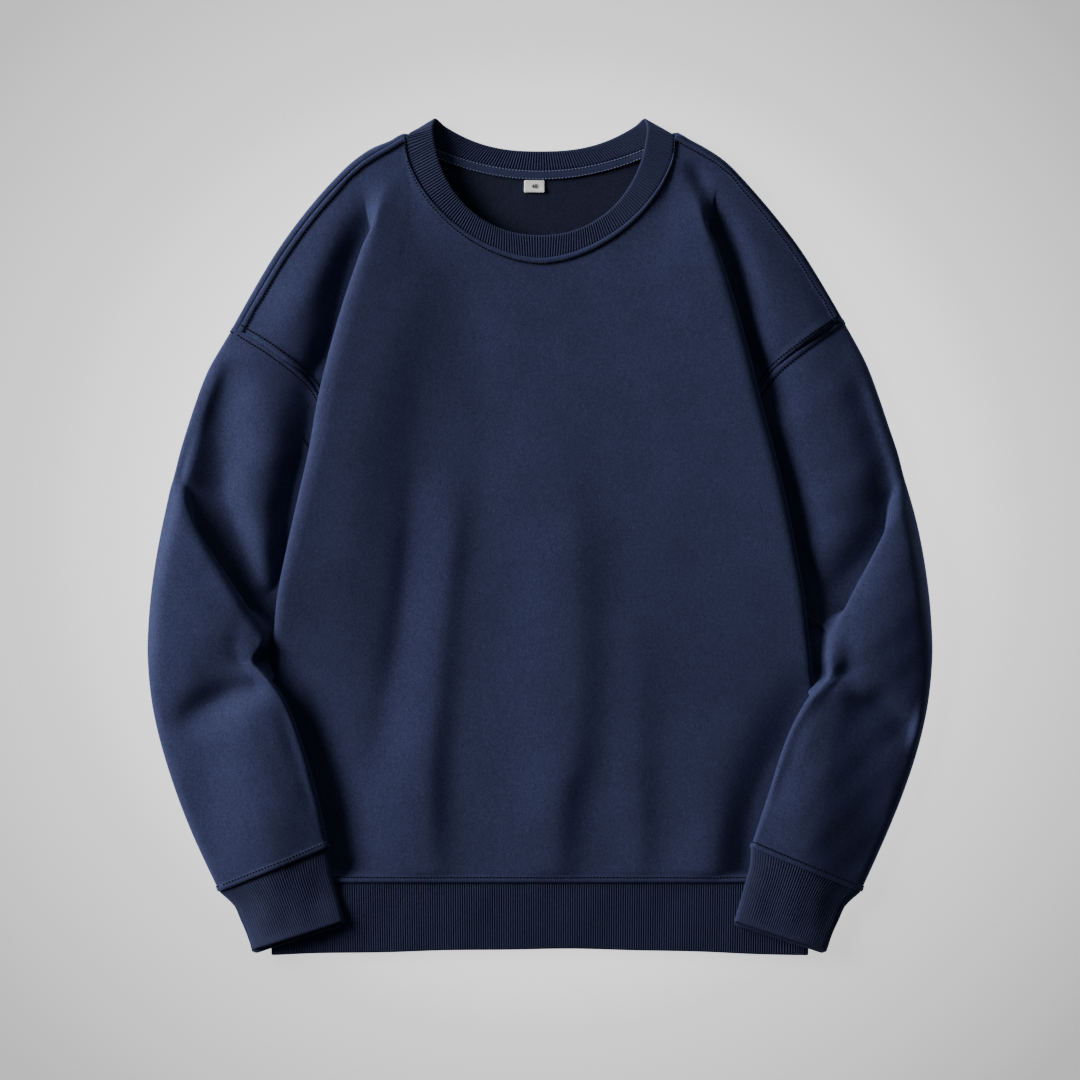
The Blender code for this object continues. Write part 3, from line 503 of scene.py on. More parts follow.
def fold_points(side, y, start_out):
    """Columns of the side fold at a level: into the deep turn, out to the rolled edge and over its top."""
    turn, edge, top, radius = (FOLD[side].at(name, y) for name in ("turn", "edge", "top", "radius"))
    low = mix(SHOULDER_NECK_Z, ARMHOLE_LOW_Z, step((edge - turn + 5.0) / 25.0))
    back = top - 2.0 * radius
    approach = turn + max(min(7.0, 0.6 * (start_out - turn)), 1.5)
    roll_in = max(edge - radius, turn)
    inside = edge - 1.6 * radius
    inside_z = front_height(side, inside, y)
    folded = np.array([
        [approach, y, low],
        [turn, y, (low + back) / 2],
        [turn + min(6.0, 0.3 * (roll_in - turn)), y, back],
        [mix(turn, roll_in, 0.65), y, back],
        [roll_in, y, back],
        [edge - 0.3 * radius, y, top - 1.7 * radius],
        [edge, y, top - radius],
        [edge - 0.3 * radius, y, top - 0.3 * radius],
        [inside, y, inside_z],
    ])
    if y <= UNDERARM_Y:
        return folded
    gentle = np.array([
        [mix(approach, inside, t), y, mix(low, inside_z, step(t))] for t in np.linspace(0.0, 1.0, len(folded))
    ])
    return mix(gentle, folded, step((edge - turn - 2.0) / 14.0))


def front_half_above(side, tops, part):
    """One row of half the front between its top edge and the underarm."""
    row = tops.copy()
    row[:, 1] = mix(tops[:, 1], UNDERARM_Y, part)
    start = armhole_point(side, part)
    opened = 1.0 - step((325.0 - row[APPROACH:TOP + 1, 1]) / 40.0)
    for k, i in enumerate(range(APPROACH, TOP + 1)):
        flat = np.array([tops[i, 0], row[i, 1], tops[i, 2] + 1.0 * step(part * 6.0)])
        row[i] = mix(fold_points(side, row[i, 1], start[0])[k], flat, opened[k])
    fade = (1.0 - part) ** 1.5
    edge = FOLD[side].at("edge", row[APPROACH, 1])
    shown = np.clip((start[0] - edge - 14.0) / max(start[0] - row[APPROACH, 0], 1.0), 0.05, 1.0)
    for i in range(APPROACH):
        t = i / APPROACH
        bend = tops[i] - mix(tops[0], tops[APPROACH], t)
        hump = SHOULDER_HUMP[side] * step(part * 5.0) * math.sin(math.pi * min(t / shown, 1.0))
        hump *= 1.0 - step((part - 0.3) / 0.15)
        row[i] = mix(start, row[APPROACH], t) + bend * fade + np.array([0.0, 0.0, hump])
    inner = row[TOP, 0]
    for i in range(NECK_POINT, CENTRE + 1):
        out = mix(tops[i, 0], inner * (CENTRE - i) / (CENTRE - TOP), step(part * 1.1))
        height = front_height(side, out, row[i, 1])
        row[i] = (out, row[i, 1], mix(tops[i, 2], height, step(part * 3.0)))
    return row


def front_half_below(side, part):
    """One row of half the front between the underarm and the hem seam."""
    y = mix(UNDERARM_Y, HEM_SEAM_Y, part)
    row = np.zeros((CENTRE + 1, 3))
    seam = side_seam_out(y)
    row[APPROACH:TOP + 1] = fold_points(side, y, seam)
    roll_in = row[ROLL_IN]
    from_z = mix(ARMHOLE_LOW_Z, FLOOR_LAYER, step(part / 0.1))
    upright = [(seam + 0.1 * i, y, from_z + 0.18 * i) for i in range(APPROACH + 1)]
    upright.append((seam + 0.9, y, mix(from_z, roll_in[2], 0.55)))
    upright.append((seam + 2.0, y, roll_in[2]))
    upright.append((mix(seam, roll_in[0], 0.55), y, roll_in[2]))
    for i in range(ROLL_IN):
        t = i / ROLL_IN
        sloped = np.array([mix(seam, roll_in[0], t), y, mix(from_z, roll_in[2], step(t / 0.24))])
        row[i] = mix(np.array(upright[i]), sloped, step((part - 0.03) / 0.07))
    inner = row[TOP, 0]
    for i in range(NECK_POINT, CENTRE + 1):
        out = inner * (CENTRE - i) / (CENTRE - TOP)
        row[i] = (out, y, front_height(side, out, y))
    return row


def whole_row(halves):
    """Join the left and right half of a row at the centre and give it its real X."""
    left = halves["left"].copy()
    left[:, 0] *= SIDES["left"]
    return np.vstack([left, halves["right"][-2::-1]])


def front_rows():
    tops = {side: front_tops(side) for side in SIDES}
    halves = [{side: front_half_above(side, tops[side], part) for side in SIDES} for part in ARM_PARTS]
    halves += [{side: front_half_below(side, part) for side in SIDES} for part in BODY_PARTS]
    return np.array([whole_row(both) for both in halves])


def shell(name, skins, materials, ring=False):
    """Closed wall of cloth between an outer and an inner skin, joined along its edges, as one object."""
    rows, columns = skins[0].shape[:2]
    points = np.concatenate([skin.reshape(-1, 3) for skin in skins]) * MM
    spans = columns if ring else columns - 1
    r, c = np.meshgrid(np.arange(rows - 1), np.arange(spans), indexing="ij")
    d = (c + 1) % columns
    outer = np.stack([r * columns + c, (r + 1) * columns + c, (r + 1) * columns + d, r * columns + d], -1)
    outer = outer.reshape(-1, 4)
    inner = outer[:, ::-1] + rows * columns
    c = np.arange(spans)
    d = (c + 1) % columns
    last = (rows - 1) * columns
    far = rows * columns
    rims = [np.stack([c, d, d + far, c + far], -1)]
    rims.append(np.stack([last + d, last + c, last + c + far, last + d + far], -1))
    if not ring:
        r = np.arange(rows - 1) * columns
        e = r + columns - 1
        rims.append(np.stack([r + columns, r, r + far, r + columns + far], -1))
        rims.append(np.stack([e, e + columns, e + columns + far, e + far], -1))
    faces = np.concatenate([outer, inner, *rims])
    corners = points[faces]
    volume = 0.0
    for a, b in ((1, 2), (2, 3)):
        volume += np.sum(corners[:, 0] * np.cross(corners[:, a], corners[:, b]))
    if volume < 0.0:
        faces = faces[:, ::-1]
    mesh = bpy.data.meshes.new(name)
    mesh.from_pydata(points.tolist(), [], faces.tolist())
    for material in materials:
        mesh.materials.append(material)
    which = np.zeros(len(faces), dtype=np.int32)
    which[len(outer):2 * len(outer)] = len(materials) - 1
    mesh.polygons.foreach_set("material_index", which)
    mesh.polygons.foreach_set("use_smooth", np.ones(len(faces), dtype=bool))
    mesh.update()
    piece = bpy.data.objects.new(name, mesh)
    bpy.context.scene.collection.objects.link(piece)
    return piece


def knit_group():
    """Face of napped knit: a fine fuzzy grain, short crossing fibres and broad faint clouds of colour."""
    group = bpy.data.node_groups.new("napped_knit", "ShaderNodeTree")
    for name, kind, value in (("Colour", "Color", (0.5, 0.5, 0.5, 1.0)), ("Grain size", "Float", 900.0),
                              ("Contrast", "Float", 0.3), ("Fibre", "Float", 0.5)):
        socket = group.interface.new_socket(name=name, in_out="INPUT", socket_type="NodeSocket" + kind)
        socket.default_value = value
    for name, kind in (("Colour", "Color"), ("Height", "Float")):
        group.interface.new_socket(name=name, in_out="OUTPUT", socket_type="NodeSocket" + kind)
    given = add_node(group, "NodeGroupInput", {}).outputs
    place = add_node(group, "ShaderNodeTexCoord", {}).outputs["Object"]
    grain = add_node(group, "ShaderNodeTexNoise", {
        "Vector": place, "Scale": given["Grain size"], "Detail": 2.0, "Roughness": 0.6, "Distortion": 2.2,
    })
    fibre_place = add_node(group, "ShaderNodeMapping", {
        "Vector": place, "Rotation": (0.0, 0.0, FIBRE_TURN), "Scale": (1.0, FIBRE_STRETCH, 1.0),
    })
    fibre = add_node(group, "ShaderNodeTexNoise", {
        "Vector": fibre_place.outputs["Vector"], "Scale": FIBRE_FINENESS, "Detail": 1.0, "Distortion": 2.6,
    })
    cloud = add_node(group, "ShaderNodeTexNoise", {"Vector": place, "Scale": CLOUD_FINENESS, "Detail": 4.0})
    both = add_node(group, "ShaderNodeMix", {
        "Factor": given["Fibre"], "A": grain.outputs["Fac"], "B": fibre.outputs["Fac"],
    }, data_type="FLOAT")
    tone = add_node(group, "ShaderNodeMath", {
        0: cloud.outputs["Fac"], 1: CLOUD_SHARE, 2: both.outputs["Result"],
    }, operation="MULTIPLY_ADD")
    level = add_node(group, "ShaderNodeMapRange", {
        "Value": tone.outputs["Value"], "From Min": 0.66, "From Max": 0.34, "To Min": -0.35, "To Max": 1.0,
    })
    strength = add_node(group, "ShaderNodeMath", {
        0: level.outputs["Result"], 1: given["Contrast"], 2: 1.0,
    }, operation="MULTIPLY_ADD")
    tint = add_node(group, "ShaderNodeVectorMath", {
        0: given["Colour"], "Scale": strength.outputs["Value"],
    }, operation="SCALE")
    add_node(group, "NodeGroupOutput", {"Colour": tint.outputs["Vector"], "Height": both.outputs["Result"]})
    return group


NAPPED_KNIT = knit_group()


def cloth_material(name, colour, grain, contrast, fibre, depth, sheen=0.4, rough=0.9):
    """Matt cloth with the napped knit on it: how fine, how strong, how fibrous and how deep its grain is."""
    material = bpy.data.materials.new(name)
    material.use_nodes = True
    tree = material.node_tree
    knit = add_node(tree, "ShaderNodeGroup", {
        "Colour": (*colour, 1.0), "Grain size": grain, "Contrast": contrast, "Fibre": fibre,
    }, node_tree=NAPPED_KNIT)
    bump = add_node(tree, "ShaderNodeBump", {
        "Height": knit.outputs["Height"], "Distance": depth * MM, "Strength": 1.0,
    })
    feed(tree.nodes["Principled BSDF"], {
        "Base Color": knit.outputs["Colour"],
        "Normal": bump.outputs["Normal"],
        "Roughness": rough,
        "Specular IOR Level": 0.12,
        "Sheen Weight": sheen,
        "Sheen Roughness": 0.45,
        "Sheen Tint": NAP_TINT,
    })
    return material


fleece_face = cloth_material(
    "navy_fleece", NAVY, grain=760.0, contrast=0.85, fibre=0.6, depth=0.16, sheen=0.3
)
# Material of the cloth's inner faces: the brushed inside with its painted shade
fleece_inside_painted_shade = cloth_material(
    "navy_brushed_inside_painted_shade", NAVY_INSIDE_PAINTED_SHADE, grain=600.0, contrast=0.9, fibre=0.5, depth=0.4, sheen=0.3
)

front_coarse = front_rows()
front_weight = np.ones(front_coarse.shape[1] - 1)
front_weight[APPROACH:TOP + 1] = FOLD_DENSITY
front_weight[-TOP - 1:-APPROACH] = FOLD_DENSITY
front_row_places = stops(front_coarse, 0, FRONT_SPACING, WELT_STEPS, WELT_STEPS)
front_column_places = stops(front_coarse, 1, FRONT_SPACING, SIDE_WELT_STEPS, SIDE_WELT_STEPS, front_weight)
front = soften(refine(front_coarse, front_row_places, front_column_places), SEWN_SOFTENING)
last_column = front_coarse.shape[1] - 1.0
from_side = np.minimum(front_column_places, last_column - front_column_places)[None, :]
chest = step((from_side - TOP - 0.1) / 1.5) * step((edge_distance(front, "top") - 4.0) / 26.0)
front = mix(front, soften(front, CHEST_SOFTENING), chest[..., None])
front_flat = front.copy()
outboard = step((APPROACH + 1.4 - from_side) / 1.2) * (front[..., 1] > UNDERARM_Y)
front_outboard = outboard * line_height(front[..., 0], front[..., 1], OUTBOARD_LINES)
above_floor = step((front[..., 2] - 1.5) / 3.0)
front_z = line_height(front[..., 0], front[..., 1], FRONT_LINES)
front_ends = away_from(front, top=25.0, bottom=12.0)
front[..., 2] += above_floor * front_ends * (front_z + front_outboard + unevenness(front, 0.2, 90.0, 0.4))
front[..., 2] = np.maximum(front[..., 2], np.minimum(front_flat[..., 2], 3.6))
front_out = normals(front)
armhole_rows = step((front[:, :1, 1] - UNDERARM_Y - 8.0) / 15.0)
front_relief = welt(edge_distance(front, "top"))
front_relief += welt(edge_distance(front, "bottom")) * step((front[..., 2] - 3.0) / 2.0)
front_relief += armhole_rows * (welt(edge_distance(front, "left")) + welt(edge_distance(front, "right")))
front_skins = (front + front_out * (FLEECE / 2 + front_relief[..., None]), front - front_out * FLEECE / 2)
front_piece = shell("front_panel", front_skins, (fleece_face, fleece_inside_painted_shade))
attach(front_piece, "root")
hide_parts("front")


# ---- Back ----
# One panel of the same fleece. Its top edge comes forward over the shoulders, so the shoulder seams lie a
# little in front of the garment's edge. The rest lies flat on the table, with a few faint creases of its own.
# Its brushed inside shows in the neck opening. The inside's own brushed face is coloured much darker than the
# face as painted shade for that recess under the collar.
SEAM_GAP = 0.3
SEAM_LAP = 0.5
BACK_SEAM_Y = 321.2
BACK_SEAM_RISE = 32.0
BACK_SEAM_POWER = 2.0
SHOULDER_ROLL = {"left": 6.0, "right": 3.4}
BACK_SPACING = 4.5
ROLL_DENSITY = 3.0
BACK_NECK_PARTS = (0.965, 0.89, 0.77, 0.63, 0.48, 0.32, 0.16)
BACK_ARM_PARTS = (0.2, 0.4, 0.6, 0.8, 1)
BACK_BODY_PARTS = (0.33, 0.67, 1)
BACK_ROLL_ROWS = 4
BACK_ROWS = BACK_ROLL_ROWS + len(BACK_ARM_PARTS) + len(BACK_BODY_PARTS)
BACK_LINES = (
    soft_line((0, -60, 230, 0, 16), (0.4, -78, 110, 1, 18), (1, -70, -60, 0, 20)),
    soft_line((0, 70, 205, 0, 18), (0.5, 84, 60, 1.2, 20), (1, 80, -150, 0, 20)),
    soft_line((0, -20, -40, 0, 20), (0.5, -26, -150, 0.9, 18), (1, -24, -270, 0, 16)),
    soft_line((0, -70, 292, 0, 9), (0.5, -20, 276, 0.5, 12), (1, 60, 268, 0, 12)),
)


def unit(vector):
    return vector / max(np.linalg.norm(vector), 1e-9)


def back_neck_upright(part):
    """How far the back's top edge has turned up round the shoulder fold, near the neck point."""
    return step((part - 0.9) / 0.06)


def back_neck_rise(part):
    folded = (SHOULDER_NECK_Z - FLOOR_LAYER) * 0.55
    return mix(1.8 * step((part - 0.6) / 0.3), folded, back_neck_upright(part))


def back_half(side):
    """Half the back: its top edge lies on the shoulder, rolls over the fold and then lies on the floor."""
    tops = front_tops(side)
    roll = SHOULDER_ROLL[side]
    count = CENTRE + 1
    rows = np.zeros((BACK_ROLL_ROWS, count, 3))
    for i in range(NECK_POINT + 1):
        along = unit(tops[max(i - 1, 0)] - tops[min(i + 1, NECK_POINT)])
        over = np.array([-along[1], along[0], 0.0])
        reach = mix(roll - 1.0, 2.4, step((i - 8) / 6.0))
        middle = (tops[i, 2] + FLOOR_LAYER) / 2
        rows[0, i] = tops[i] - over * SEAM_LAP
        rows[1, i] = tops[i] + over * reach * 0.75
        rows[1, i, 2] = mix(tops[i, 2], middle, 0.3)
        rows[2, i] = tops[i] + over * reach
        rows[2, i, 2] = middle
        rows[3, i] = tops[i] + over * reach * 0.5
        rows[3, i, 2] = FLOOR_LAYER
    for k, part in enumerate((*BACK_NECK_PARTS, 0.0)):
        i = NECK_POINT + 1 + k
        out = NECK_SEAM_HALF * part
        y = BACK_SEAM_Y + BACK_SEAM_RISE * part ** BACK_SEAM_POWER
        upright = back_neck_upright(part)
        rise = back_neck_rise(part)
        for r in range(BACK_ROLL_ROWS):
            low = r / (BACK_ROLL_ROWS - 1)
            rows[r, i] = (out, y - mix(2.5, -0.2, upright) * r, FLOOR_LAYER + rise * (1.0 - low))
    start = rows[-1]
    level = np.array([(UNDERARM_OUT * (1.0 - i / CENTRE), UNDERARM_Y, FLOOR_LAYER) for i in range(count)])
    below = []
    for part in BACK_ARM_PARTS:
        row = mix(start, level, part)
        pull = armhole_point(side, part, hump=False) - row[0]
        for i in range(count):
            row[i] += pull * max(0.0, 1.0 - i / NECK_POINT) ** 1.2
        below.append(row)
    for part in BACK_BODY_PARTS:
        y = mix(UNDERARM_Y, HEM_SEAM_Y, part)
        side_out = side_seam_out(y)
        below.append(np.array([(side_out * (1.0 - i / CENTRE), y, FLOOR_LAYER) for i in range(count)]))
    net = np.concatenate([rows, np.array(below)])
    # Below the roll, the outer edge stops a seam gap short of the armhole and side seams
    net[BACK_ROLL_ROWS:, 0, 0] -= SEAM_GAP
    return net


back_halves = {side: back_half(side) for side in SIDES}
back_coarse = np.array([whole_row({side: back_halves[side][r] for side in SIDES}) for r in range(BACK_ROWS)])
back_weight = np.ones(BACK_ROWS - 1)
back_weight[:BACK_ROLL_ROWS - 1] = ROLL_DENSITY
back_row_places = stops(back_coarse, 0, BACK_SPACING, weight=back_weight)
back = refine(back_coarse, back_row_places, stops(back_coarse, 1, BACK_SPACING))
back_ends = away_from(back, bottom=25.0, left=30.0, right=30.0)
back_ends = back_ends * step((edge_distance(back, "top") - 14.0) / 20.0)
back[..., 2] += back_ends * line_height(back[..., 0], back[..., 1], BACK_LINES)
back_out = -normals(back)
back_dip = 0.5 * np.exp(-((edge_distance(back, "top") / 0.9) ** 2)) * step((back_out[..., 2] + 0.2) / 0.4)
back_skins = (back + back_out * (FLEECE / 2 - back_dip[..., None]), back - back_out * FLEECE / 2)
back_piece = shell("back_panel", back_skins, (fleece_face, fleece_inside_painted_shade))
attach(back_piece, "root")
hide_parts("back")


# ---- Sleeves ----
# One panel each of the fleece, sewn to the armhole round the dropped shoulder, closed along the underarm and
# eased into the cuff. The upper arm lies beside the body. At the elbow the forearm is bent in over it, which
# folds the upper layer over itself in one long diagonal edge, with a soft crease below it.

# Station by station from the armhole to the cuff: the outer and inner edge in plan, the height of the upper
# layer's hump, the part of the width that shows, how far the elbow fold slides the upper layer towards the
# cuff and lifts it, how much of the armhole's bow is left, and how far the turn at the inner edge reaches in
# under the upper layer
SLEEVE = {
    "left": Rows("station out out_y in in_y hump shows slide lift bow turn",
                 (0, 270.4, 179.2, 163.6, 33, 6, 0.45, 0, 0, 1, 2.2),
                 (1, 289.6, 144.4, 188, 2, 8, 0.66, 0, 0, 0.55, 2.2),
                 (2, 306.1, 98.3, 207, -30, 8, 0.78, 0, 0, 0.2, 2.2),
                 (3, 313.9, 72.2, 224, -58.3, 6, 0.9, 0, 0, 0.05, 2.2),
                 (4, 317.4, 58, 230, -69, 4.5, 0.95, 18, 0, 0, 2.2),
                 (5, 318.6, 53.6, 232, -71, 3, 0.95, 18.5, 5.5, 0, 2.2),
                 (6, 319.8, 49.2, 236, -75.5, 2, 1, 10.5, 8.8, 0, 2.4),
                 (7, 321.3, 44.4, 239.5, -81, 2, 1, 0, 10.6, 0, 2.6),
                 (8, 322.5, 39.7, 239, -87, 2.5, 1, 0, 11, 0, 3.2),
                 (9, 325, 28, 241.5, -95, 4, 1, 0, 10.5, 0, 3.4),
                 (10, 331.3, -1.7, 247, -102.5, 7, 1, 0, 9, 0, 2.8),
                 (11, 339.2, -53.9, 249, -108.5, 8.5, 1, 0, 7, 0, 2.6),
                 (12, 341.8, -97.4, 242.5, -117, 8.5, 1, 0, 3, 0, 2),
                 (13, 338.3, -140.9, 226.6, -136.1, 9, 1, 0, 0, 0, 2.2),
                 (14, 326.1, -193.1, 209.8, -177.5, 9, 1, 0, 0, 0, 2.2),
                 (15, 303.5, -255.8, 195.9, -225.3, 8, 1, 0, 0, 0, 2.2),
                 (16, 279, -308, 186.3, -269.7, 2, 1, 0, 0, 0, 2.2)),
    "right": Rows("station out out_y in in_y hump shows slide lift bow turn",
                  (0, 264.4, 188.8, 163.6, 33, 6, 0.45, 0, 0, 1, 2.2),
                  (1, 284.6, 150.5, 188, 2, 7.2, 0.66, 0, 0, 0.55, 2.2),
                  (2, 303.2, 98.3, 209, -30, 7, 0.78, 0, 0, 0.2, 2.2),
                  (3, 311.9, 72.2, 227, -58.3, 5.6, 0.9, 0, 0, 0.05, 2.2),
                  (4, 315.4, 58, 233, -69, 5, 0.95, 18, 0, 0, 2.2),
                  (5, 316.6, 53.6, 240, -73, 3.5, 0.95, 18.5, 2, 0, 2.2),
                  (6, 317.8, 49.2, 248, -77.5, 2.5, 1, 10.5, 4, 0, 2.4),
                  (7, 319.3, 44.4, 253.5, -82.5, 2, 1, 0, 6, 0, 2.6),
                  (8, 320.7, 39.7, 253.5, -88.5, 2.5, 1, 0, 8, 0, 3.2),
                  (9, 324.2, 28, 253, -96, 4, 1, 0, 8, 0, 3.2),
                  (10, 331.3, -1.7, 252.5, -104.5, 7, 1, 0, 7, 0, 2.6),
                  (11, 339.2, -53.9, 253.5, -113, 8.5, 1, 0, 5.5, 0, 2.4),
                  (12, 341.8, -97.4, 252, -122, 8.5, 1, 0, 2.5, 0, 2),
                  (13, 338.3, -140.9, 236, -139, 9, 1, 0, 0, 0, 2.2),
                  (14, 326.1, -193.1, 216.5, -176.5, 7.8, 1, 0, 0, 0, 2.2),
                  (15, 302.6, -255.8, 202, -221.5, 6.6, 1, 0, 0, 0, 2.2),
                  (16, 279, -308, 186.3, -269.7, 2, 1, 0, 0, 0, 2.2)),
}
SLEEVE_PARTS = (0, 0.06, 0.14, 0.24, 0.35, 0.46, 0.57, 0.69, 0.83, 0.95, 1)
SLEEVE_SEAM_PART = 0.05
ELBOW_SLIDE_WAY = (0.847, -0.532)
SLEEVE_SPACING = 3.4
TURN_DENSITY = 2.0
ARMHOLE_WELT = 0.7
LAYER_RISE = 4.0
CUFF_RISE = 5.2
CLEAR_OF_BODY = 4.0
UNDERARM_EASE = 1.5
ELBOW_UNDER = 7.0
OVER_BODY_FROM = {"left": -103.0, "right": -118.0}
UPPER_ARM_LINES = {
    "left": (
        soft_line((0, -262, 158, 0, 14, 20), (0.15, -270, 125, -5.5, 18, 19),
                  (0.35, -277, 85, -8, 22, 22), (0.55, -277, 45, -9.5, 24, 15),
                  (0.72, -270, 12, -9, 26, 14), (0.86, -260, -19, -7.5, 28, 14),
                  (1, -244, -56, -5, 24, 16)),
        soft_line((0, -222, 140, 0, 16, 14), (0.3, -231, 100, 1.4, 18, 18), (0.7, -238, 30, 3.6, 17, 18),
                  (1, -241, -40, 4.5, 12, 14)),
        soft_line((0, -288, 150, 0, 12, 12), (0.25, -302, 115, 3, 8, 14), (0.55, -312, 77, 6, 7, 22),
                  (0.8, -318, 60, 6.5, 7, 26), (1, -323, 46, 2, 7, 26)),
        soft_line((0, -191, 140, -1, 16, 60), (0.3, -191, 85, -7.5, 18, 60),
                  (0.55, -199, 33, -10, 18, 60), (0.88, -215, -50, -10, 16, 60),
                  (1, -222, -78, -10, 18, 60)),
    ),
    "right": (
        soft_line((0, 250, 150, 0, 15), (0.3, 257, 118, 0.8, 17), (0.6, 262, 77, 0.4, 18),
                  (1, 262, 10, 0.4, 18)),
        soft_line((0, 268, 150, 0, 12), (0.3, 281, 120, -1.6, 13), (0.7, 296, 77, -2.6, 14),
                  (1, 302, 36, -4, 14)),
        soft_line((0, 196, 130, 0, 40, 10), (0.4, 204, 70, -0.6, 40, 12), (0.7, 216, 0, -2.5, 40, 14),
                  (0.88, 228, -50, -6, 40, 16), (1, 234, -78, -8, 40, 18)),
        soft_line((0, 318, 44, 0, 18, 60), (0.2, 311, 22, -5, 22, 60), (0.5, 295, -12, -8.5, 24, 60),
                  (0.8, 279, -43, -9, 24, 60), (1, 264, -66, -8, 24, 60)),
    ),
}
FOREARM_LINES = {
    "left": (
        soft_line((0, -236, -124, -1, 9, 12), (0.12, -248, -129, -4.8, 11, 13),
                  (0.4, -272, -137, -7.5, 14, 15), (0.75, -299, -153, -6.5, 15, 17),
                  (1, -316, -176, 0, 13, 16)),
        soft_line((0, -246, -92, 0.8, 14), (0.3, -264, -97, 1.6, 22), (0.8, -300, -108, 1.2, 20),
                  (1, -318, -120, 0, 16)),
        soft_line((0, -286, -26, 0, 26, 9), (0.4, -256, -62, 2.4, 28, 9), (0.75, -243, -86, 2.4, 34, 9),
                  (1, -250, -106, 0.6, 26, 10)),
        soft_line((0, -322, 34, 0, 9), (0.3, -299, 4, 1.8, 12), (0.6, -283, -22, 2.6, 12),
                  (0.85, -266, -50, 2.6, 12), (1, -252, -72, 1, 10)),
    ),
    "right": (
        soft_line((0, 262, -127, 0, 10, 9), (0.2, 278, -139, -5, 13, 10), (0.5, 298, -147, -7.2, 14, 12),
                  (0.75, 317, -162, -6.4, 15, 12), (1, 329, -180, 0, 13, 12)),
        soft_line((0, 270, -98, 0, 12), (0.4, 288, -106, 1.2, 16), (1, 318, -118, 0, 16)),
    ),
}
UPPER_COLUMNS = len(SLEEVE_PARTS)
SLEEVE_STEPS = np.concatenate([np.arange(1.0, 16.0, 0.5), (16.0,)])


def under_sleeve(side, out, y):
    """Height of the sleeve's lower layer: on the floor outside the body and on the body inside its edge."""
    edge = FOLD[side].at("edge", y)
    body = front_height(side, np.minimum(out, edge), y) + CLEAR_OF_BODY
    over = 1.0 - step((out - edge + 12.0) / 70.0)
    return mix(FLOOR_LAYER, body, over * step((OVER_BODY_FROM[side] - y) / 20.0))


def sleeve_ring(side, station, armhole_front, armhole_back):
    """Points round a flattened sleeve at a station: upper layer out to in, turn, lower layer in to out."""
    names = SLEEVE[side].names[1:]
    value = {name: SLEEVE[side].at(name, station) for name in names}
    outer = np.array([value["out"], value["out_y"]])
    inner = np.array([value["in"], value["in_y"]])
    chord_from = np.array([SLEEVE[side].at("out", 0), SLEEVE[side].at("out_y", 0)])
    chord_to = np.array([UNDERARM_OUT, UNDERARM_Y])
    rise = mix(LAYER_RISE, CUFF_RISE, step(station - 15.0))
    ring = []
    for k, part in enumerate(SLEEVE_PARTS):
        t = mix(SLEEVE_SEAM_PART, 1.0, part)
        place = mix(outer, inner, t)
        place += value["bow"] * (armhole_front[k][:2] - mix(chord_from, chord_to, t))
        slid = step((t - 0.1) / 0.35) * step((1.0 - t) / 0.15)
        lifted = step(t / 0.12) * step((1.0 - t) / mix(0.35, 0.05, step((station - 5.5) / 1.5)))
        place += np.array(ELBOW_SLIDE_WAY) * value["slide"] * slid
        low = under_sleeve(side, place[0], place[1])
        shown = min(t / value["shows"], 1.0)
        full = step((station - 7.0) / 4.0)
        bowed = max(math.sin(math.pi * shown), 0.0) ** mix(1.0, 0.65, full)
        raised = value["hump"] * bowed + value["lift"] * lifted
        edge_share = mix(0.85, 0.35, step((station - 12.0) / 2.0))
        edge_high = (value["hump"] + value["lift"]) * step((station - 6.3) / 0.8) * edge_share
        raised = max(raised, edge_high * step((t - 0.7) / 0.2) * step((16.0 - station) / 1.5))
        seam_lift = (SHOULDER_TIP_Z - FLOOR_LAYER - rise) * (1.0 - shown)
        ring.append((place[0], place[1], low + rise + max(seam_lift, 0.0) + raised))
    way = unit(outer - inner)
    turn_way = mix(way, np.array([1.0, 0.0]), step((station - 3.0) / 2.0))
    turn = inner - turn_way * value["turn"]
    under = under_sleeve(side, turn[0], turn[1])
    ring.append((turn[0], turn[1], mix(under, ring[-1][2], 0.5)))
    for k, part in enumerate(reversed(BACK_ARM_PARTS)):
        place = mix(outer, inner, part)
        back_place = armhole_back[len(BACK_ARM_PARTS) - 1 - k][:2]
        place += value["bow"] * (back_place - mix(chord_from, chord_to, part))
        low = under_sleeve(side, place[0], place[1])
        if k == 0 and station > 2.5:
            edge = FOLD[side].at("edge", place[1])
            outside = step((place[0] - edge + 1.0) / 6.0)
            place[0] = min(place[0], mix(place[0], edge - ELBOW_UNDER, outside))
            low = mix(low, FLOOR_LAYER, outside)
        ring.append((place[0], place[1], low))
    tall = max(rise, SHOULDER_TIP_Z - FLOOR_LAYER)
    for inset, height in ((3.0, 0.0), (0.0, 0.5), (1.2, 0.88)):
        place = outer - way * inset
        ring.append((place[0], place[1], under_sleeve(side, place[0], place[1]) + tall * height))
    return np.array(ring)


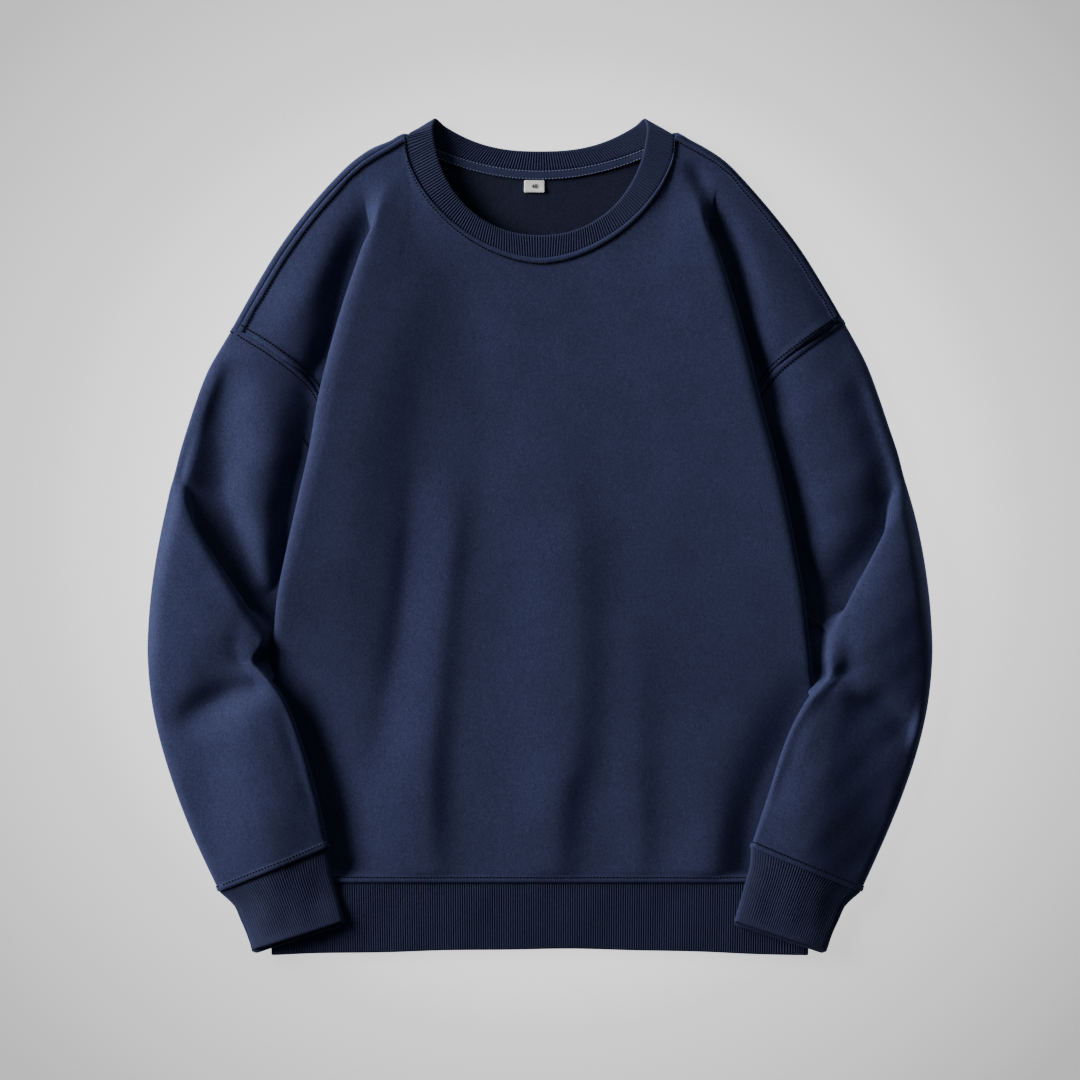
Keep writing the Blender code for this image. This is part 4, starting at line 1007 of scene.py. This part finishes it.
def first_ring(side):
    """Armhole end of a sleeve, lapped over the front's and back's edges, and the ways out of the cloth."""
    column = 0 if side == "left" else -1
    beside = 1 if side == "left" else -2
    beside_parts = np.array(SLEEVE_PARTS) * (ARM_ROWS - 1.0)
    armhole = refine(front_coarse[:ARM_ROWS], beside_parts, np.arange(front_coarse.shape[1]))
    armhole_out = normals(armhole)
    coarse_out = -normals(back_coarse)
    ring = []
    out = []
    for r in range(UPPER_COLUMNS):
        edge = armhole[r, column]
        ring.append(edge - unit(edge - armhole[r, beside]) * SEAM_LAP)
        out.append(armhole_out[r, column])
    ease = np.array([SIDES[side] * UNDERARM_EASE, -UNDERARM_EASE, 0.0])
    ring[-1] = ring[-1] + ease
    ring.append(np.array([SIDES[side] * UNDERARM_OUT, UNDERARM_Y, (ARMHOLE_LOW_Z + FLOOR_LAYER) / 2]) + ease)
    out.append(np.array([-SIDES[side], 0.0, 0.0]))
    for r in range(BACK_ROLL_ROWS - 1 + len(BACK_ARM_PARTS), 0, -1):
        edge = back_coarse[r, column]
        ring.append(edge - unit(edge - back_coarse[r, beside]) * SEAM_LAP)
        out.append(coarse_out[r, column])
    ring[UPPER_COLUMNS + 1] = ring[UPPER_COLUMNS + 1] + ease
    return np.array(ring), np.array(out)


def lean_to_seam(out, seam_out, columns, distance, reach):
    """Turn the ways out of a ring of cloth, close to its seam, towards those of the pieces it is sewn to."""
    beyond = refine(seam_out[None].repeat(2, axis=0), np.array([0.0]), columns, ring=True)
    out = mix(out, beyond, np.exp(-((distance / reach) ** 2))[..., None])
    return out / np.linalg.norm(out, axis=2, keepdims=True)


sleeve_coarse = {}
sleeve_out = {}
sleeve_skins = {}
for side in SIDES:
    front_points = [armhole_point(side, part) for part in SLEEVE_PARTS]
    back_points = [armhole_point(side, part, hump=False) for part in BACK_ARM_PARTS]
    ring, ring_out = first_ring(side)
    rings = [ring]
    for station in SLEEVE_STEPS:
        points = sleeve_ring(side, station, front_points, back_points)
        points[:, 0] *= SIDES[side]
        rings.append(points)
    coarse = np.array(rings)
    sleeve_coarse[side] = coarse
    closed = np.concatenate([coarse, coarse[:, :1]], axis=1)
    turn_weight = np.ones(closed.shape[1] - 1)
    turn_weight[UPPER_COLUMNS - 3:UPPER_COLUMNS + 2] = TURN_DENSITY
    turn_weight[-4:] = TURN_DENSITY
    row_places = stops(coarse, 0, SLEEVE_SPACING, WELT_STEPS, WELT_STEPS)
    column_places = stops(closed, 1, SLEEVE_SPACING, weight=turn_weight)[:-1]
    fine = soften(refine(coarse, row_places, column_places, ring=True), SEWN_SOFTENING, ring=True)
    station_at = np.interp(row_places, np.arange(len(rings)), [0.0, *SLEEVE_STEPS])[:, None]
    across = column_places[None, :] / (UPPER_COLUMNS - 1)
    on_top = step(across / 0.1) * step((1.0 - across) / 0.04)
    x, y = fine[..., 0], fine[..., 1]
    lines = line_height(x, y, UPPER_ARM_LINES[side]) * (1.0 - step((station_at - 4.8) / 1.0))
    lines += line_height(x, y, FOREARM_LINES[side]) * step((station_at - 7.0) / 2.0)
    lines += unevenness(fine, 0.4, 60.0, 1.3 if side == "left" else 2.2)
    ends = away_from(fine, top=16.0, bottom=14.0)
    lowest = np.minimum(fine[..., 2], under_sleeve(side, np.abs(x), y) + 2.5)
    fine[..., 2] = np.maximum(fine[..., 2] + lines * on_top * ends, lowest)
    out = normals(fine, ring=True) * -SIDES[side]
    out = lean_to_seam(out, ring_out, column_places, edge_distance(fine, "top"), 3.0)
    relief = welt(edge_distance(fine, "top"), ARMHOLE_WELT) + welt(edge_distance(fine, "bottom"))
    relief *= step((fine[..., 2] - 2.5) / 2.0)
    sleeve_out[side] = out
    sleeve_skins[side] = (fine + out * (FLEECE / 2 + relief[..., None]), fine - out * FLEECE / 2)
    piece = shell("sleeve_panel_" + side, sleeve_skins[side], (fleece_face, fleece_inside_painted_shade), ring=True)
    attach(piece, "root")
    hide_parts("sleeve_" + side)


# ---- Cuffs ----
# A closed ring each of 1x1 rib, folded double, so it has no hem at the hand opening. The ribs run along the
# arm. It is sewn on stretched, so the sleeve's end is a little fuller than the cuff.
RIB = 2.8
NAVY_RIB = (0.024, 0.0282, 0.067)
RIB_GROOVE = {"cuff": 0.55, "hem": 0.95, "collar": 1.05}
CUFF_OPENING = {"left": ((250, -358.5), (171.5, -333.5)), "right": ((248.5, -358.5), (170.5, -333.5))}
CUFF_RIBS = 86
CUFF_SAMPLES = 6
CUFF_SPACING = 5.0
CUFF_PARTS = (0.0, 0.12, 0.25, 0.45, 0.7, 1.0)
CUFF_PINCH = {"outer": 9.0, "inner": 4.0}
CUFF_UNDER_LONGER = 3.6
# Share of the under layer in each point round the ring: upper layer, inner turn, under layer, outer turn
CUFF_UNDER_SHARE = (0.0,) * UPPER_COLUMNS + (0.5,) + (1.0,) * len(BACK_ARM_PARTS) + (1.0, 0.5, 0.12)
CUFF_DIP = 2.4
CUFF_SETTLE = 3.0
CUFF_LOWEST = 8.8
rib_knit = cloth_material("navy_rib", NAVY_RIB, grain=900.0, contrast=0.3, fibre=0.3, depth=0.2, sheen=0.2)


def band_half_wall(net, rounded_end):
    """Half the thickness of a doubled band: rounded where it is folded and pinched where it is sewn."""
    sewn_end = "bottom" if rounded_end == "top" else "top"
    fold = np.clip(edge_distance(net, rounded_end) / (RIB * 0.55), 0.0, 1.0)
    sewn = np.clip(edge_distance(net, sewn_end) / 1.4, 0.0, 1.0)
    return RIB / 2 * (0.12 + 0.88 * np.sqrt(1.0 - (1.0 - fold) ** 2)) * (0.55 + 0.45 * np.sqrt(sewn))


def rib_groove(columns, samples, depth):
    """How deep a 1x1 rib is sunk at each column: 0 on a rib's crown and full in the groove between two."""
    phase = np.arange(columns) / samples
    return depth * (1.0 - np.abs(np.cos(math.pi * phase)) ** 0.8)


def band(name, net, out, half, groove):
    """A ring of doubled rib round the middle of its net, with its grooves sunk on both faces."""
    depth = np.minimum(np.broadcast_to(groove, half.shape), half * 0.7)
    skins = (net + out * (half - depth)[..., None], net - out * (half - depth)[..., None])
    piece = shell(name, skins, (rib_knit,), ring=True)
    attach(piece, "root")
    return piece


def rib_columns(coarse, ribs, samples):
    """Places round a ring of rib, with the same number of samples for each rib."""
    closed = np.concatenate([coarse, coarse[:, :1]], axis=1)
    size = edge_distance(closed, "left")[:, -1].mean() / (ribs * samples)
    return stops(closed, 1, size)[:ribs * samples]


BAND_STEPS = (0, 0.25, 0.7, 1.4, 2.6)
for side in SIDES:
    start = sleeve_coarse[side][-1]
    coarse_out = (normals(sleeve_coarse[side], ring=True) * -SIDES[side])[-1]
    away = np.array([unit(point - before) for point, before in zip(start, sleeve_coarse[side][-2])])
    seam = start - away * SEAM_LAP - coarse_out * (RIB - FLEECE) / 2
    outer, inner = (np.array(place) for place in CUFF_OPENING[side])
    full_outer = seam[np.argmax(np.abs(seam[:, 0])), 0]
    full_inner = seam[np.argmin(np.abs(seam[:, 0])), 0]
    opening = seam.copy()
    for k, point in enumerate(seam):
        place = mix(outer, inner, (point[0] - full_outer) / (full_inner - full_outer))
        lift = under_sleeve(side, *place) - under_sleeve(side, abs(point[0]), point[1])
        opening[k] = (SIDES[side] * place[0], place[1], point[2] + lift)
    settle = CUFF_SETTLE * step((opening[:, 2] - 1.0) / 4.0) + 1.6 * step((opening[:, 2] - 6.0) / 4.0)
    opening[:, 2] = np.maximum(opening[:, 2] - settle, np.minimum(opening[:, 2], CUFF_LOWEST))
    low = np.array(CUFF_UNDER_SHARE)
    opening[:, :2] += unit(opening.mean(axis=0) - seam.mean(axis=0))[:2] * CUFF_UNDER_LONGER * low[:, None]
    across = (np.abs(seam[:, 0]) - abs(full_inner)) / (abs(full_outer) - abs(full_inner))
    pinch = np.where(across > 0.5, -CUFF_PINCH["outer"], CUFF_PINCH["inner"])
    pinch *= step(np.abs(across - 0.5) / 0.5)
    rings = []
    for t in CUFF_PARTS:
        ring = mix(seam, opening, t)
        ring[:, 0] += SIDES[side] * pinch * step(t / 0.25) * (1.0 - t)
        ring[:, 2] -= CUFF_DIP * (1.0 - low) * math.sin(math.pi * t) ** 0.8
        rings.append(ring)
    coarse = np.array(rings)
    columns = rib_columns(coarse, CUFF_RIBS, CUFF_SAMPLES)
    cuff_rows = stops(coarse, 0, CUFF_SPACING, BAND_STEPS, BAND_STEPS)
    net = soften(refine(coarse, cuff_rows, columns, ring=True), 2, ring=True)
    ends = away_from(net, top=12.0, bottom=14.0)
    net[..., 2] += unevenness(net, 0.35, 34.0, 0.7) * ends * step((net[..., 2] - 3.0) / 3.0)
    net[..., 2] -= 0.5 * np.exp(-((edge_distance(net, "top") / 5.0) ** 2)) * step((net[..., 2] - 4.0) / 3.0)
    out = normals(net, ring=True) * -SIDES[side]
    rib_out = np.abs(net[..., 0])
    rib_across = (rib_out - rib_out.min(axis=1, keepdims=True)) / np.ptp(rib_out, axis=1)[:, None]
    fade = 0.35 + 0.65 * step(np.minimum(rib_across, 1.0 - rib_across) / 0.28)
    fade *= 0.15 + 0.85 * step((edge_distance(net, "bottom") - 1.0) / 5.0)
    piece = band("cuff_band_" + side, net, out, band_half_wall(net, "bottom"),
                 rib_groove(net.shape[1], CUFF_SAMPLES, RIB_GROOVE["cuff"]) * fade)
    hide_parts("cuff_" + side)


# ---- Hem rib ----
# A closed ring of the same doubled rib round the bottom of the body, with its ribs running down. It lies
# flat, front on back, with a folded lower edge and squared corners.
HEM_RIB_DEPTH = 59.0
HEM_CORNER_DROP = 5.0
HEM_RIB_HALF = 233.0
HEM_SETTLE = 2.4
HEM_RIBS = 470
HEM_SAMPLES = 4
HEM_SPACING = 7.0
HEM_PARTS = (0.0, 0.25, 0.5, 0.75, 1.0)
front_coarse_out = normals(front_coarse)
back_coarse_out = -normals(back_coarse)
straight_down = np.array([0.0, 0.0, -1.0])
for column in (0, -1):
    front_coarse_out[ARM_ROWS:, column] = straight_down
    back_coarse_out[BACK_ROLL_ROWS:, column] = straight_down
seam = np.vstack([front_coarse[-1], back_coarse[-1, -2:0:-1]])
seam_out = np.vstack([front_coarse_out[-1], back_coarse_out[-1, -2:0:-1]])
top = seam - seam_out * (RIB - FLEECE) / 2
top[:, 1] += SEAM_LAP
widest = np.max(np.abs(top[:, 0]))
rings = []
for part in HEM_PARTS:
    ring = top.copy()
    ring[:, 0] *= mix(1.0, HEM_RIB_HALF / widest, part)
    ring[:, 1] -= HEM_RIB_DEPTH * part + HEM_CORNER_DROP * part * (np.abs(ring[:, 0]) / HEM_RIB_HALF) ** 2
    ring[:, 2] = np.maximum(ring[:, 2] - HEM_SETTLE * part, np.minimum(ring[:, 2], RIB * 1.6))
    rings.append(ring)
coarse = np.array(rings)
columns = rib_columns(coarse, HEM_RIBS, HEM_SAMPLES)
hem_rows = stops(coarse, 0, HEM_SPACING, BAND_STEPS, BAND_STEPS)
net = refine(coarse, hem_rows, columns, ring=True)
ends = away_from(net, top=12.0)
net[..., 2] += unevenness(net, 0.45, 80.0, 2.9) * ends * step((net[..., 2] - 3.0) / 3.0)
net[..., 1] += (0.5 * np.sin(net[..., 0] * 0.021 + 1.0) + 0.3 * np.sin(net[..., 0] * 0.057)) * ends
out = normals(net, ring=True)
hem_piece = band("hem_band", net, out, band_half_wall(net, "bottom"),
                 rib_groove(net.shape[1], HEM_SAMPLES, RIB_GROOVE["hem"]))
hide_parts("hem_rib")


# ---- Collar ----
# A closed ring of doubled 1x1 rib, sewn round the neck under a little tension. It stands up slightly off the
# front and folds in two at both neck points, where it is the highest edge of the garment.
NECK_EDGE_HALF = 93.5
NECK_EDGE_TOP_Y = 366.0
NECK_EDGE_DEPTH = 102.8
NECK_EDGE_POWER = 2.1
BACK_EDGE_Y = 337.4
BACK_EDGE_RISE = 29.5
BACK_EDGE_POWER = 2.5
COLLAR_RIBS = 240
COLLAR_SAMPLES = 5
COLLAR_SPACING = 2.6
COLLAR_PARTS = (0.0, 0.33, 0.67, 1.0)


def neck_edge(angle):
    turn = math.radians(angle)
    power = 2.0 / NECK_EDGE_POWER
    out = NECK_EDGE_HALF * max(math.cos(turn), 0.0) ** power
    return out, NECK_EDGE_TOP_Y - NECK_EDGE_DEPTH * math.sin(turn) ** power


def collar_net():
    """A closed ring, free edge to seam edge, over the front, round the neck point and along the back."""
    first = NECK_POINT
    last = front_coarse.shape[1] - 1 - NECK_POINT
    seam = []
    out = []
    edge = []
    angles = (0.0, *NECK_ANGLES, 90.0)
    for c in range(first, last + 1):
        k = min(c - first, last - c)
        side = -1.0 if c - first <= last - c else 1.0
        away = unit(front_coarse[3, c] - front_coarse[0, c]) * SEAM_LAP
        if k == 0:
            away += np.array([-side * 0.9, 0.0, 0.7])
        seam.append(front_coarse[0, c] + away)
        out.append(front_coarse_out[0, c])
        free_out, free_y = neck_edge(max(angles[k], 5.0))
        lift = 1.0 - 1.5 * step(angles[k] / 40.0)
        edge.append(np.array([side * free_out, free_y, front_coarse[0, c, 2] + lift]))
    for c in range(last - 1, first, -1):
        part = abs(back_coarse[0, c, 0]) / NECK_SEAM_HALF
        upright = back_neck_upright(part)
        away = unit(mix(back_coarse[0, c] - back_coarse[1, c], np.array([0.0, 0.0, 1.0]), upright))
        seam.append(back_coarse[0, c] + away * (1.3 * step((part - 0.75) / 0.2) - SEAM_LAP))
        out.append(back_coarse_out[0, c])
        free = back_coarse[0, c, 0] * NECK_EDGE_HALF / NECK_SEAM_HALF
        y = BACK_EDGE_Y + BACK_EDGE_RISE * part ** BACK_EDGE_POWER
        edge.append(np.array([free, y + 0.8 * upright, RIB / 2 + back_neck_rise(part)]))
    seam = np.array(seam)
    out = np.array(out)
    edge = np.array(edge)
    seam = seam - out * (RIB - FLEECE) / 2
    return np.array([mix(edge, seam, t) for t in COLLAR_PARTS]), out


coarse, collar_seam_out = collar_net()
columns = rib_columns(coarse, COLLAR_RIBS, COLLAR_SAMPLES)
collar_rows = stops(coarse, 0, COLLAR_SPACING, BAND_STEPS, BAND_STEPS)
net = refine(coarse, collar_rows, columns, ring=True)
out = lean_to_seam(normals(net, ring=True), collar_seam_out, columns, edge_distance(net, "bottom"), 4.0)
from_peak = np.hypot(np.abs(net[..., 0]) - NECK_EDGE_HALF, net[..., 1] - NECK_EDGE_TOP_Y)
rib_fade = 0.4 + 0.6 * step((from_peak - 4.0) / 16.0)
collar_piece = band("collar_band", net, out, band_half_wall(net, "top"),
                    rib_groove(net.shape[1], COLLAR_SAMPLES, RIB_GROOVE["collar"]) * rib_fade)
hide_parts("collar")


# ---- Neck tape ----
# A strip of the body's own fleece, face out, that covers the back neck seam on the inside. It is sewn down
# along both edges.
NECK_TAPE_WIDTH = 8.9
TAPE = 1.0
TAPE_CROWN = 0.35
TAPE_INSET = 0.8
TAPE_STEPS = (0.0, 0.3, 0.7)
NAVY_TAPE = (0.0235, 0.028, 0.07)
tape_face = cloth_material("navy_tape", NAVY_TAPE, grain=1300.0, contrast=0.18, fibre=0.3, depth=0.15)
tape_first = NECK_POINT + 2
tape_z = FLEECE / 2 + SEAM_GAP + TAPE / 2
tape_edge = back_coarse[0, tape_first:back_coarse.shape[1] - tape_first].copy()
tape_edge[:, 2] += tape_z
tape_rows = []
for inset in np.linspace(TAPE_INSET, NECK_TAPE_WIDTH, 4):
    tape_rows.append(tape_edge - np.array([0.0, inset, 0.0]))
coarse = np.array(tape_rows)
net = refine(coarse, stops(coarse, 0, 1.0, TAPE_STEPS, TAPE_STEPS), stops(coarse, 1, 2.0))
tape_up = np.tile(np.array([0.0, 0.0, 1.0]), (*net.shape[:2], 1))
tape_round = np.minimum(edge_distance(net, "top"), edge_distance(net, "bottom"))
tape_half = TAPE / 2 * (0.3 + 0.7 * step(tape_round / 0.8))
tape_crown = TAPE_CROWN * np.sin(math.pi * np.clip(edge_distance(net, "top") / NECK_TAPE_WIDTH, 0.0, 1.0))
tape_skins = (net + tape_up * (tape_half + tape_crown)[..., None], net - tape_up * TAPE / 2)
tape_piece = shell("neck_tape_strip", tape_skins, (tape_face,))
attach(tape_piece, "root")
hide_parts("neck_tape")


# ---- Size label ----
# A small woven label, white satin folded under at its top, caught in the tape's lower stitching. It carries
# only a plain size number, woven in dark thread.
LABEL_SIZE = (18.0, 10.8)
LABEL_X = -4.8
LABEL = 0.8
LABEL_CORNER = 0.5
LABEL_CURL = 0.7
LABEL_ROWS = 15
LABEL_COLUMNS = 25
NUMBER_HIGH = 5.6
NUMBER_THICK = 0.05
NUMBER_RISE = 0.45
LABEL_WHITE = (0.86, 0.86, 0.85)
LABEL_DARK = (0.02, 0.022, 0.03)
label_cloth = cloth_material(
    "woven_label", LABEL_WHITE, grain=2600.0, contrast=0.05, fibre=0.1, depth=0.04, sheen=0.1, rough=0.6
)
label_ink = cloth_material(
    "label_thread", LABEL_DARK, grain=2600.0, contrast=0.1, fibre=0.1, depth=0.03, sheen=0.1
)
label_top = BACK_SEAM_Y - NECK_TAPE_WIDTH - SEAM_GAP
label_rows = []
for v in np.linspace(0.0, 1.0, LABEL_ROWS):
    y = LABEL_SIZE[1] * v
    from_end = min(y, LABEL_SIZE[1] - y)
    cut = LABEL_CORNER - math.sqrt(max(LABEL_CORNER ** 2 - max(LABEL_CORNER - from_end, 0.0) ** 2, 0.0))
    half = LABEL_SIZE[0] / 2 - cut
    curl = LABEL_CURL * step((v - 0.35) / 0.65)
    middle_z = FLEECE + SEAM_GAP + LABEL / 2
    label_rows.append([(LABEL_X + half * u, label_top - y, middle_z + curl * (0.6 + 0.4 * u * u))
                       for u in np.linspace(-1.0, 1.0, LABEL_COLUMNS)])
net = np.array(label_rows)
label_up = -normals(net)
label_up *= np.sign(label_up[..., 2:])
label_rim = np.minimum(np.minimum(edge_distance(net, "top"), edge_distance(net, "bottom")),
                       np.minimum(edge_distance(net, "left"), edge_distance(net, "right")))
label_half = LABEL / 2 * (0.45 + 0.55 * step(label_rim / 0.9))[..., None]
label_skins = (net + label_up * label_half, net - label_up * label_half)
label_piece = shell("size_label_woven", label_skins, (label_cloth,))
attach(label_piece, "root")
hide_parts("size_label")
number = bpy.data.curves.new("size_number", "FONT")
number.body = "48"
number.size = NUMBER_HIGH * MM
number.extrude = NUMBER_THICK * MM
number.align_x = "CENTER"
number.align_y = "CENTER"
number_text = bpy.data.objects.new("size_number", number)
bpy.context.scene.collection.objects.link(number_text)
number_z = FLEECE + SEAM_GAP + LABEL + NUMBER_RISE
number_text.location = (LABEL_X * MM, (label_top - LABEL_SIZE[1] / 2) * MM, number_z * MM)
depsgraph = bpy.context.evaluated_depsgraph_get()
number_mesh = bpy.data.meshes.new_from_object(number_text.evaluated_get(depsgraph))
number_place = number_text.matrix_world.copy()
number_place.translation = number_text.location
number_mesh.transform(number_place)
bpy.data.objects.remove(number_text)
number_mesh.materials.clear()
number_mesh.materials.append(label_ink)
number_piece = bpy.data.objects.new("size_number_48", number_mesh)
bpy.context.scene.collection.objects.link(number_piece)
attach(number_piece, "root")


# ---- Stitches ----
# Lockstitch in navy thread holds every seam allowance down: one row beside the neck, shoulder, hem and cuff
# seams, one row on each side of the armhole seams, and one row along each edge of the neck tape.
STITCH_PITCH = 2.9
STITCH_LONG = 2.0
STITCH_RADIUS = 0.75
TAPE_STITCH_IN = 0.9
TAPE_STITCH_RADIUS = 0.42
STITCH_SIDES = 6
STITCH_SHAPE = ((-0.5, 0.25), (-0.36, 0.85), (0.0, 1.0), (0.36, 0.85), (0.5, 0.25))
ROWS_BY_EDGE = 20
THREAD_DARK = (0.004, 0.005, 0.012)
THREAD_LIGHT = (0.13, 0.16, 0.27)
dark_thread = cloth_material(
    "navy_thread", THREAD_DARK, grain=3000.0, contrast=0.1, fibre=0.1, depth=0.03, sheen=0.0, rough=0.7
)
light_thread = cloth_material(
    "light_thread", THREAD_LIGHT, grain=3000.0, contrast=0.1, fibre=0.1, depth=0.03, sheen=0.0, rough=0.6
)


def line_on(skin, out, distance, end="top"):
    """Points of a skin at a distance from one of its edges, and the way out of the cloth there."""
    if end in ("left", "right"):
        skin = np.swapaxes(skin, 0, 1)
        out = np.swapaxes(out, 0, 1)
    if end in ("bottom", "right"):
        skin = skin[::-1]
        out = out[::-1]
    away = edge_distance(skin[:ROWS_BY_EDGE], "top")
    points = np.zeros((skin.shape[1], 3))
    ways = np.zeros_like(points)
    for c in range(skin.shape[1]):
        for k in range(3):
            points[c, k] = np.interp(distance, away[:, c], skin[:ROWS_BY_EDGE, c, k])
            ways[c, k] = np.interp(distance, away[:, c], out[:ROWS_BY_EDGE, c, k])
    return points, ways / np.linalg.norm(ways, axis=1, keepdims=True)


def stitches(name, lines, thread, radius=STITCH_RADIUS, rise=0.2):
    """Short capsules of thread, one for each stitch along the lines, as one mesh."""
    points = []
    faces = []
    for path, ways in lines:
        gaps = np.linalg.norm(np.diff(path, axis=0), axis=1)
        along = np.concatenate([[0.0], np.cumsum(gaps)])
        for s in np.arange(STITCH_PITCH / 2, along[-1] - STITCH_PITCH / 2, STITCH_PITCH):
            at = [np.array([np.interp(s + d, along, path[:, k]) for k in range(3)]) for d in (-0.6, 0.0, 0.6)]
            up = unit(np.array([np.interp(s, along, ways[:, k]) for k in range(3)]))
            way = unit(at[2] - at[0])
            beside = unit(np.cross(way, up))
            first = len(points)
            for place, wide in STITCH_SHAPE:
                middle = at[1] + way * place * STITCH_LONG + up * rise
                for j in range(STITCH_SIDES):
                    turn = 2.0 * math.pi * j / STITCH_SIDES
                    points.append(middle + radius * wide * (beside * math.cos(turn) + up * math.sin(turn)))
            for i in range(len(STITCH_SHAPE) - 1):
                for j in range(STITCH_SIDES):
                    a = first + i * STITCH_SIDES + j
                    b = first + i * STITCH_SIDES + (j + 1) % STITCH_SIDES
                    faces.append((a, a + STITCH_SIDES, b + STITCH_SIDES, b))
            last = first + (len(STITCH_SHAPE) - 1) * STITCH_SIDES
            faces.append(tuple(first + j for j in range(STITCH_SIDES)))
            faces.append(tuple(last + j for j in reversed(range(STITCH_SIDES))))
    mesh = bpy.data.meshes.new(name)
    mesh.from_pydata((np.array(points) * MM).tolist(), [], faces)
    mesh.materials.append(thread)
    mesh.polygons.foreach_set("use_smooth", np.ones(len(faces), dtype=bool))
    piece = bpy.data.objects.new(name, mesh)
    bpy.context.scene.collection.objects.link(piece)
    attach(piece, "root")
    return piece


def part_of(line, keep):
    points, ways = line
    return points[keep], ways[keep]


front_top = line_on(front_skins[0], front_out, STITCH_IN)
on_neck = np.abs(front_skins[0][0, :, 0]) < NECK_SEAM_HALF - 1.0
at_left = (front_skins[0][0, :, 0] < 0.0) & ~on_neck
at_right = (front_skins[0][0, :, 0] > 0.0) & ~on_neck
neck_stitches = stitches("stitches_neck", [part_of(front_top, on_neck)], dark_thread)
shoulder_stitches = stitches(
    "stitches_shoulders", [part_of(front_top, at_left), part_of(front_top, at_right)], dark_thread
)
armhole_lines = []
for end in ("left", "right"):
    line = line_on(front_skins[0], front_out, STITCH_IN, end)
    edge_y = front_skins[0][:, 0 if end == "left" else -1, 1]
    armhole_lines.append(part_of(line, edge_y > UNDERARM_Y + 14.0))
    line = line_on(sleeve_skins[end][0], sleeve_out[end], STITCH_IN)
    visible = (sleeve_skins[end][0][0, :, 2] > 3.0) & (line[1][:, 2] > 0.2)
    armhole_lines.append(part_of(line, visible))
armhole_stitches = stitches("stitches_armholes", armhole_lines, dark_thread)
cuff_lines = []
for side in SIDES:
    line = line_on(sleeve_skins[side][0], sleeve_out[side], STITCH_IN, "bottom")
    cuff_lines.append(part_of(line, line[1][:, 2] > -0.2))
cuff_stitches = stitches("stitches_cuffs", cuff_lines, dark_thread)
hem_line = line_on(front_skins[0], front_out, STITCH_IN, "bottom")
hem_stitches = stitches("stitches_hem", [part_of(hem_line, hem_line[1][:, 2] > 0.2)], dark_thread)
tape_lines = [line_on(tape_skins[0], tape_up, TAPE_STITCH_IN, end) for end in ("top", "bottom")]
tape_stitches = stitches("stitches_tape", tape_lines, light_thread, radius=TAPE_STITCH_RADIUS, rise=0.3)
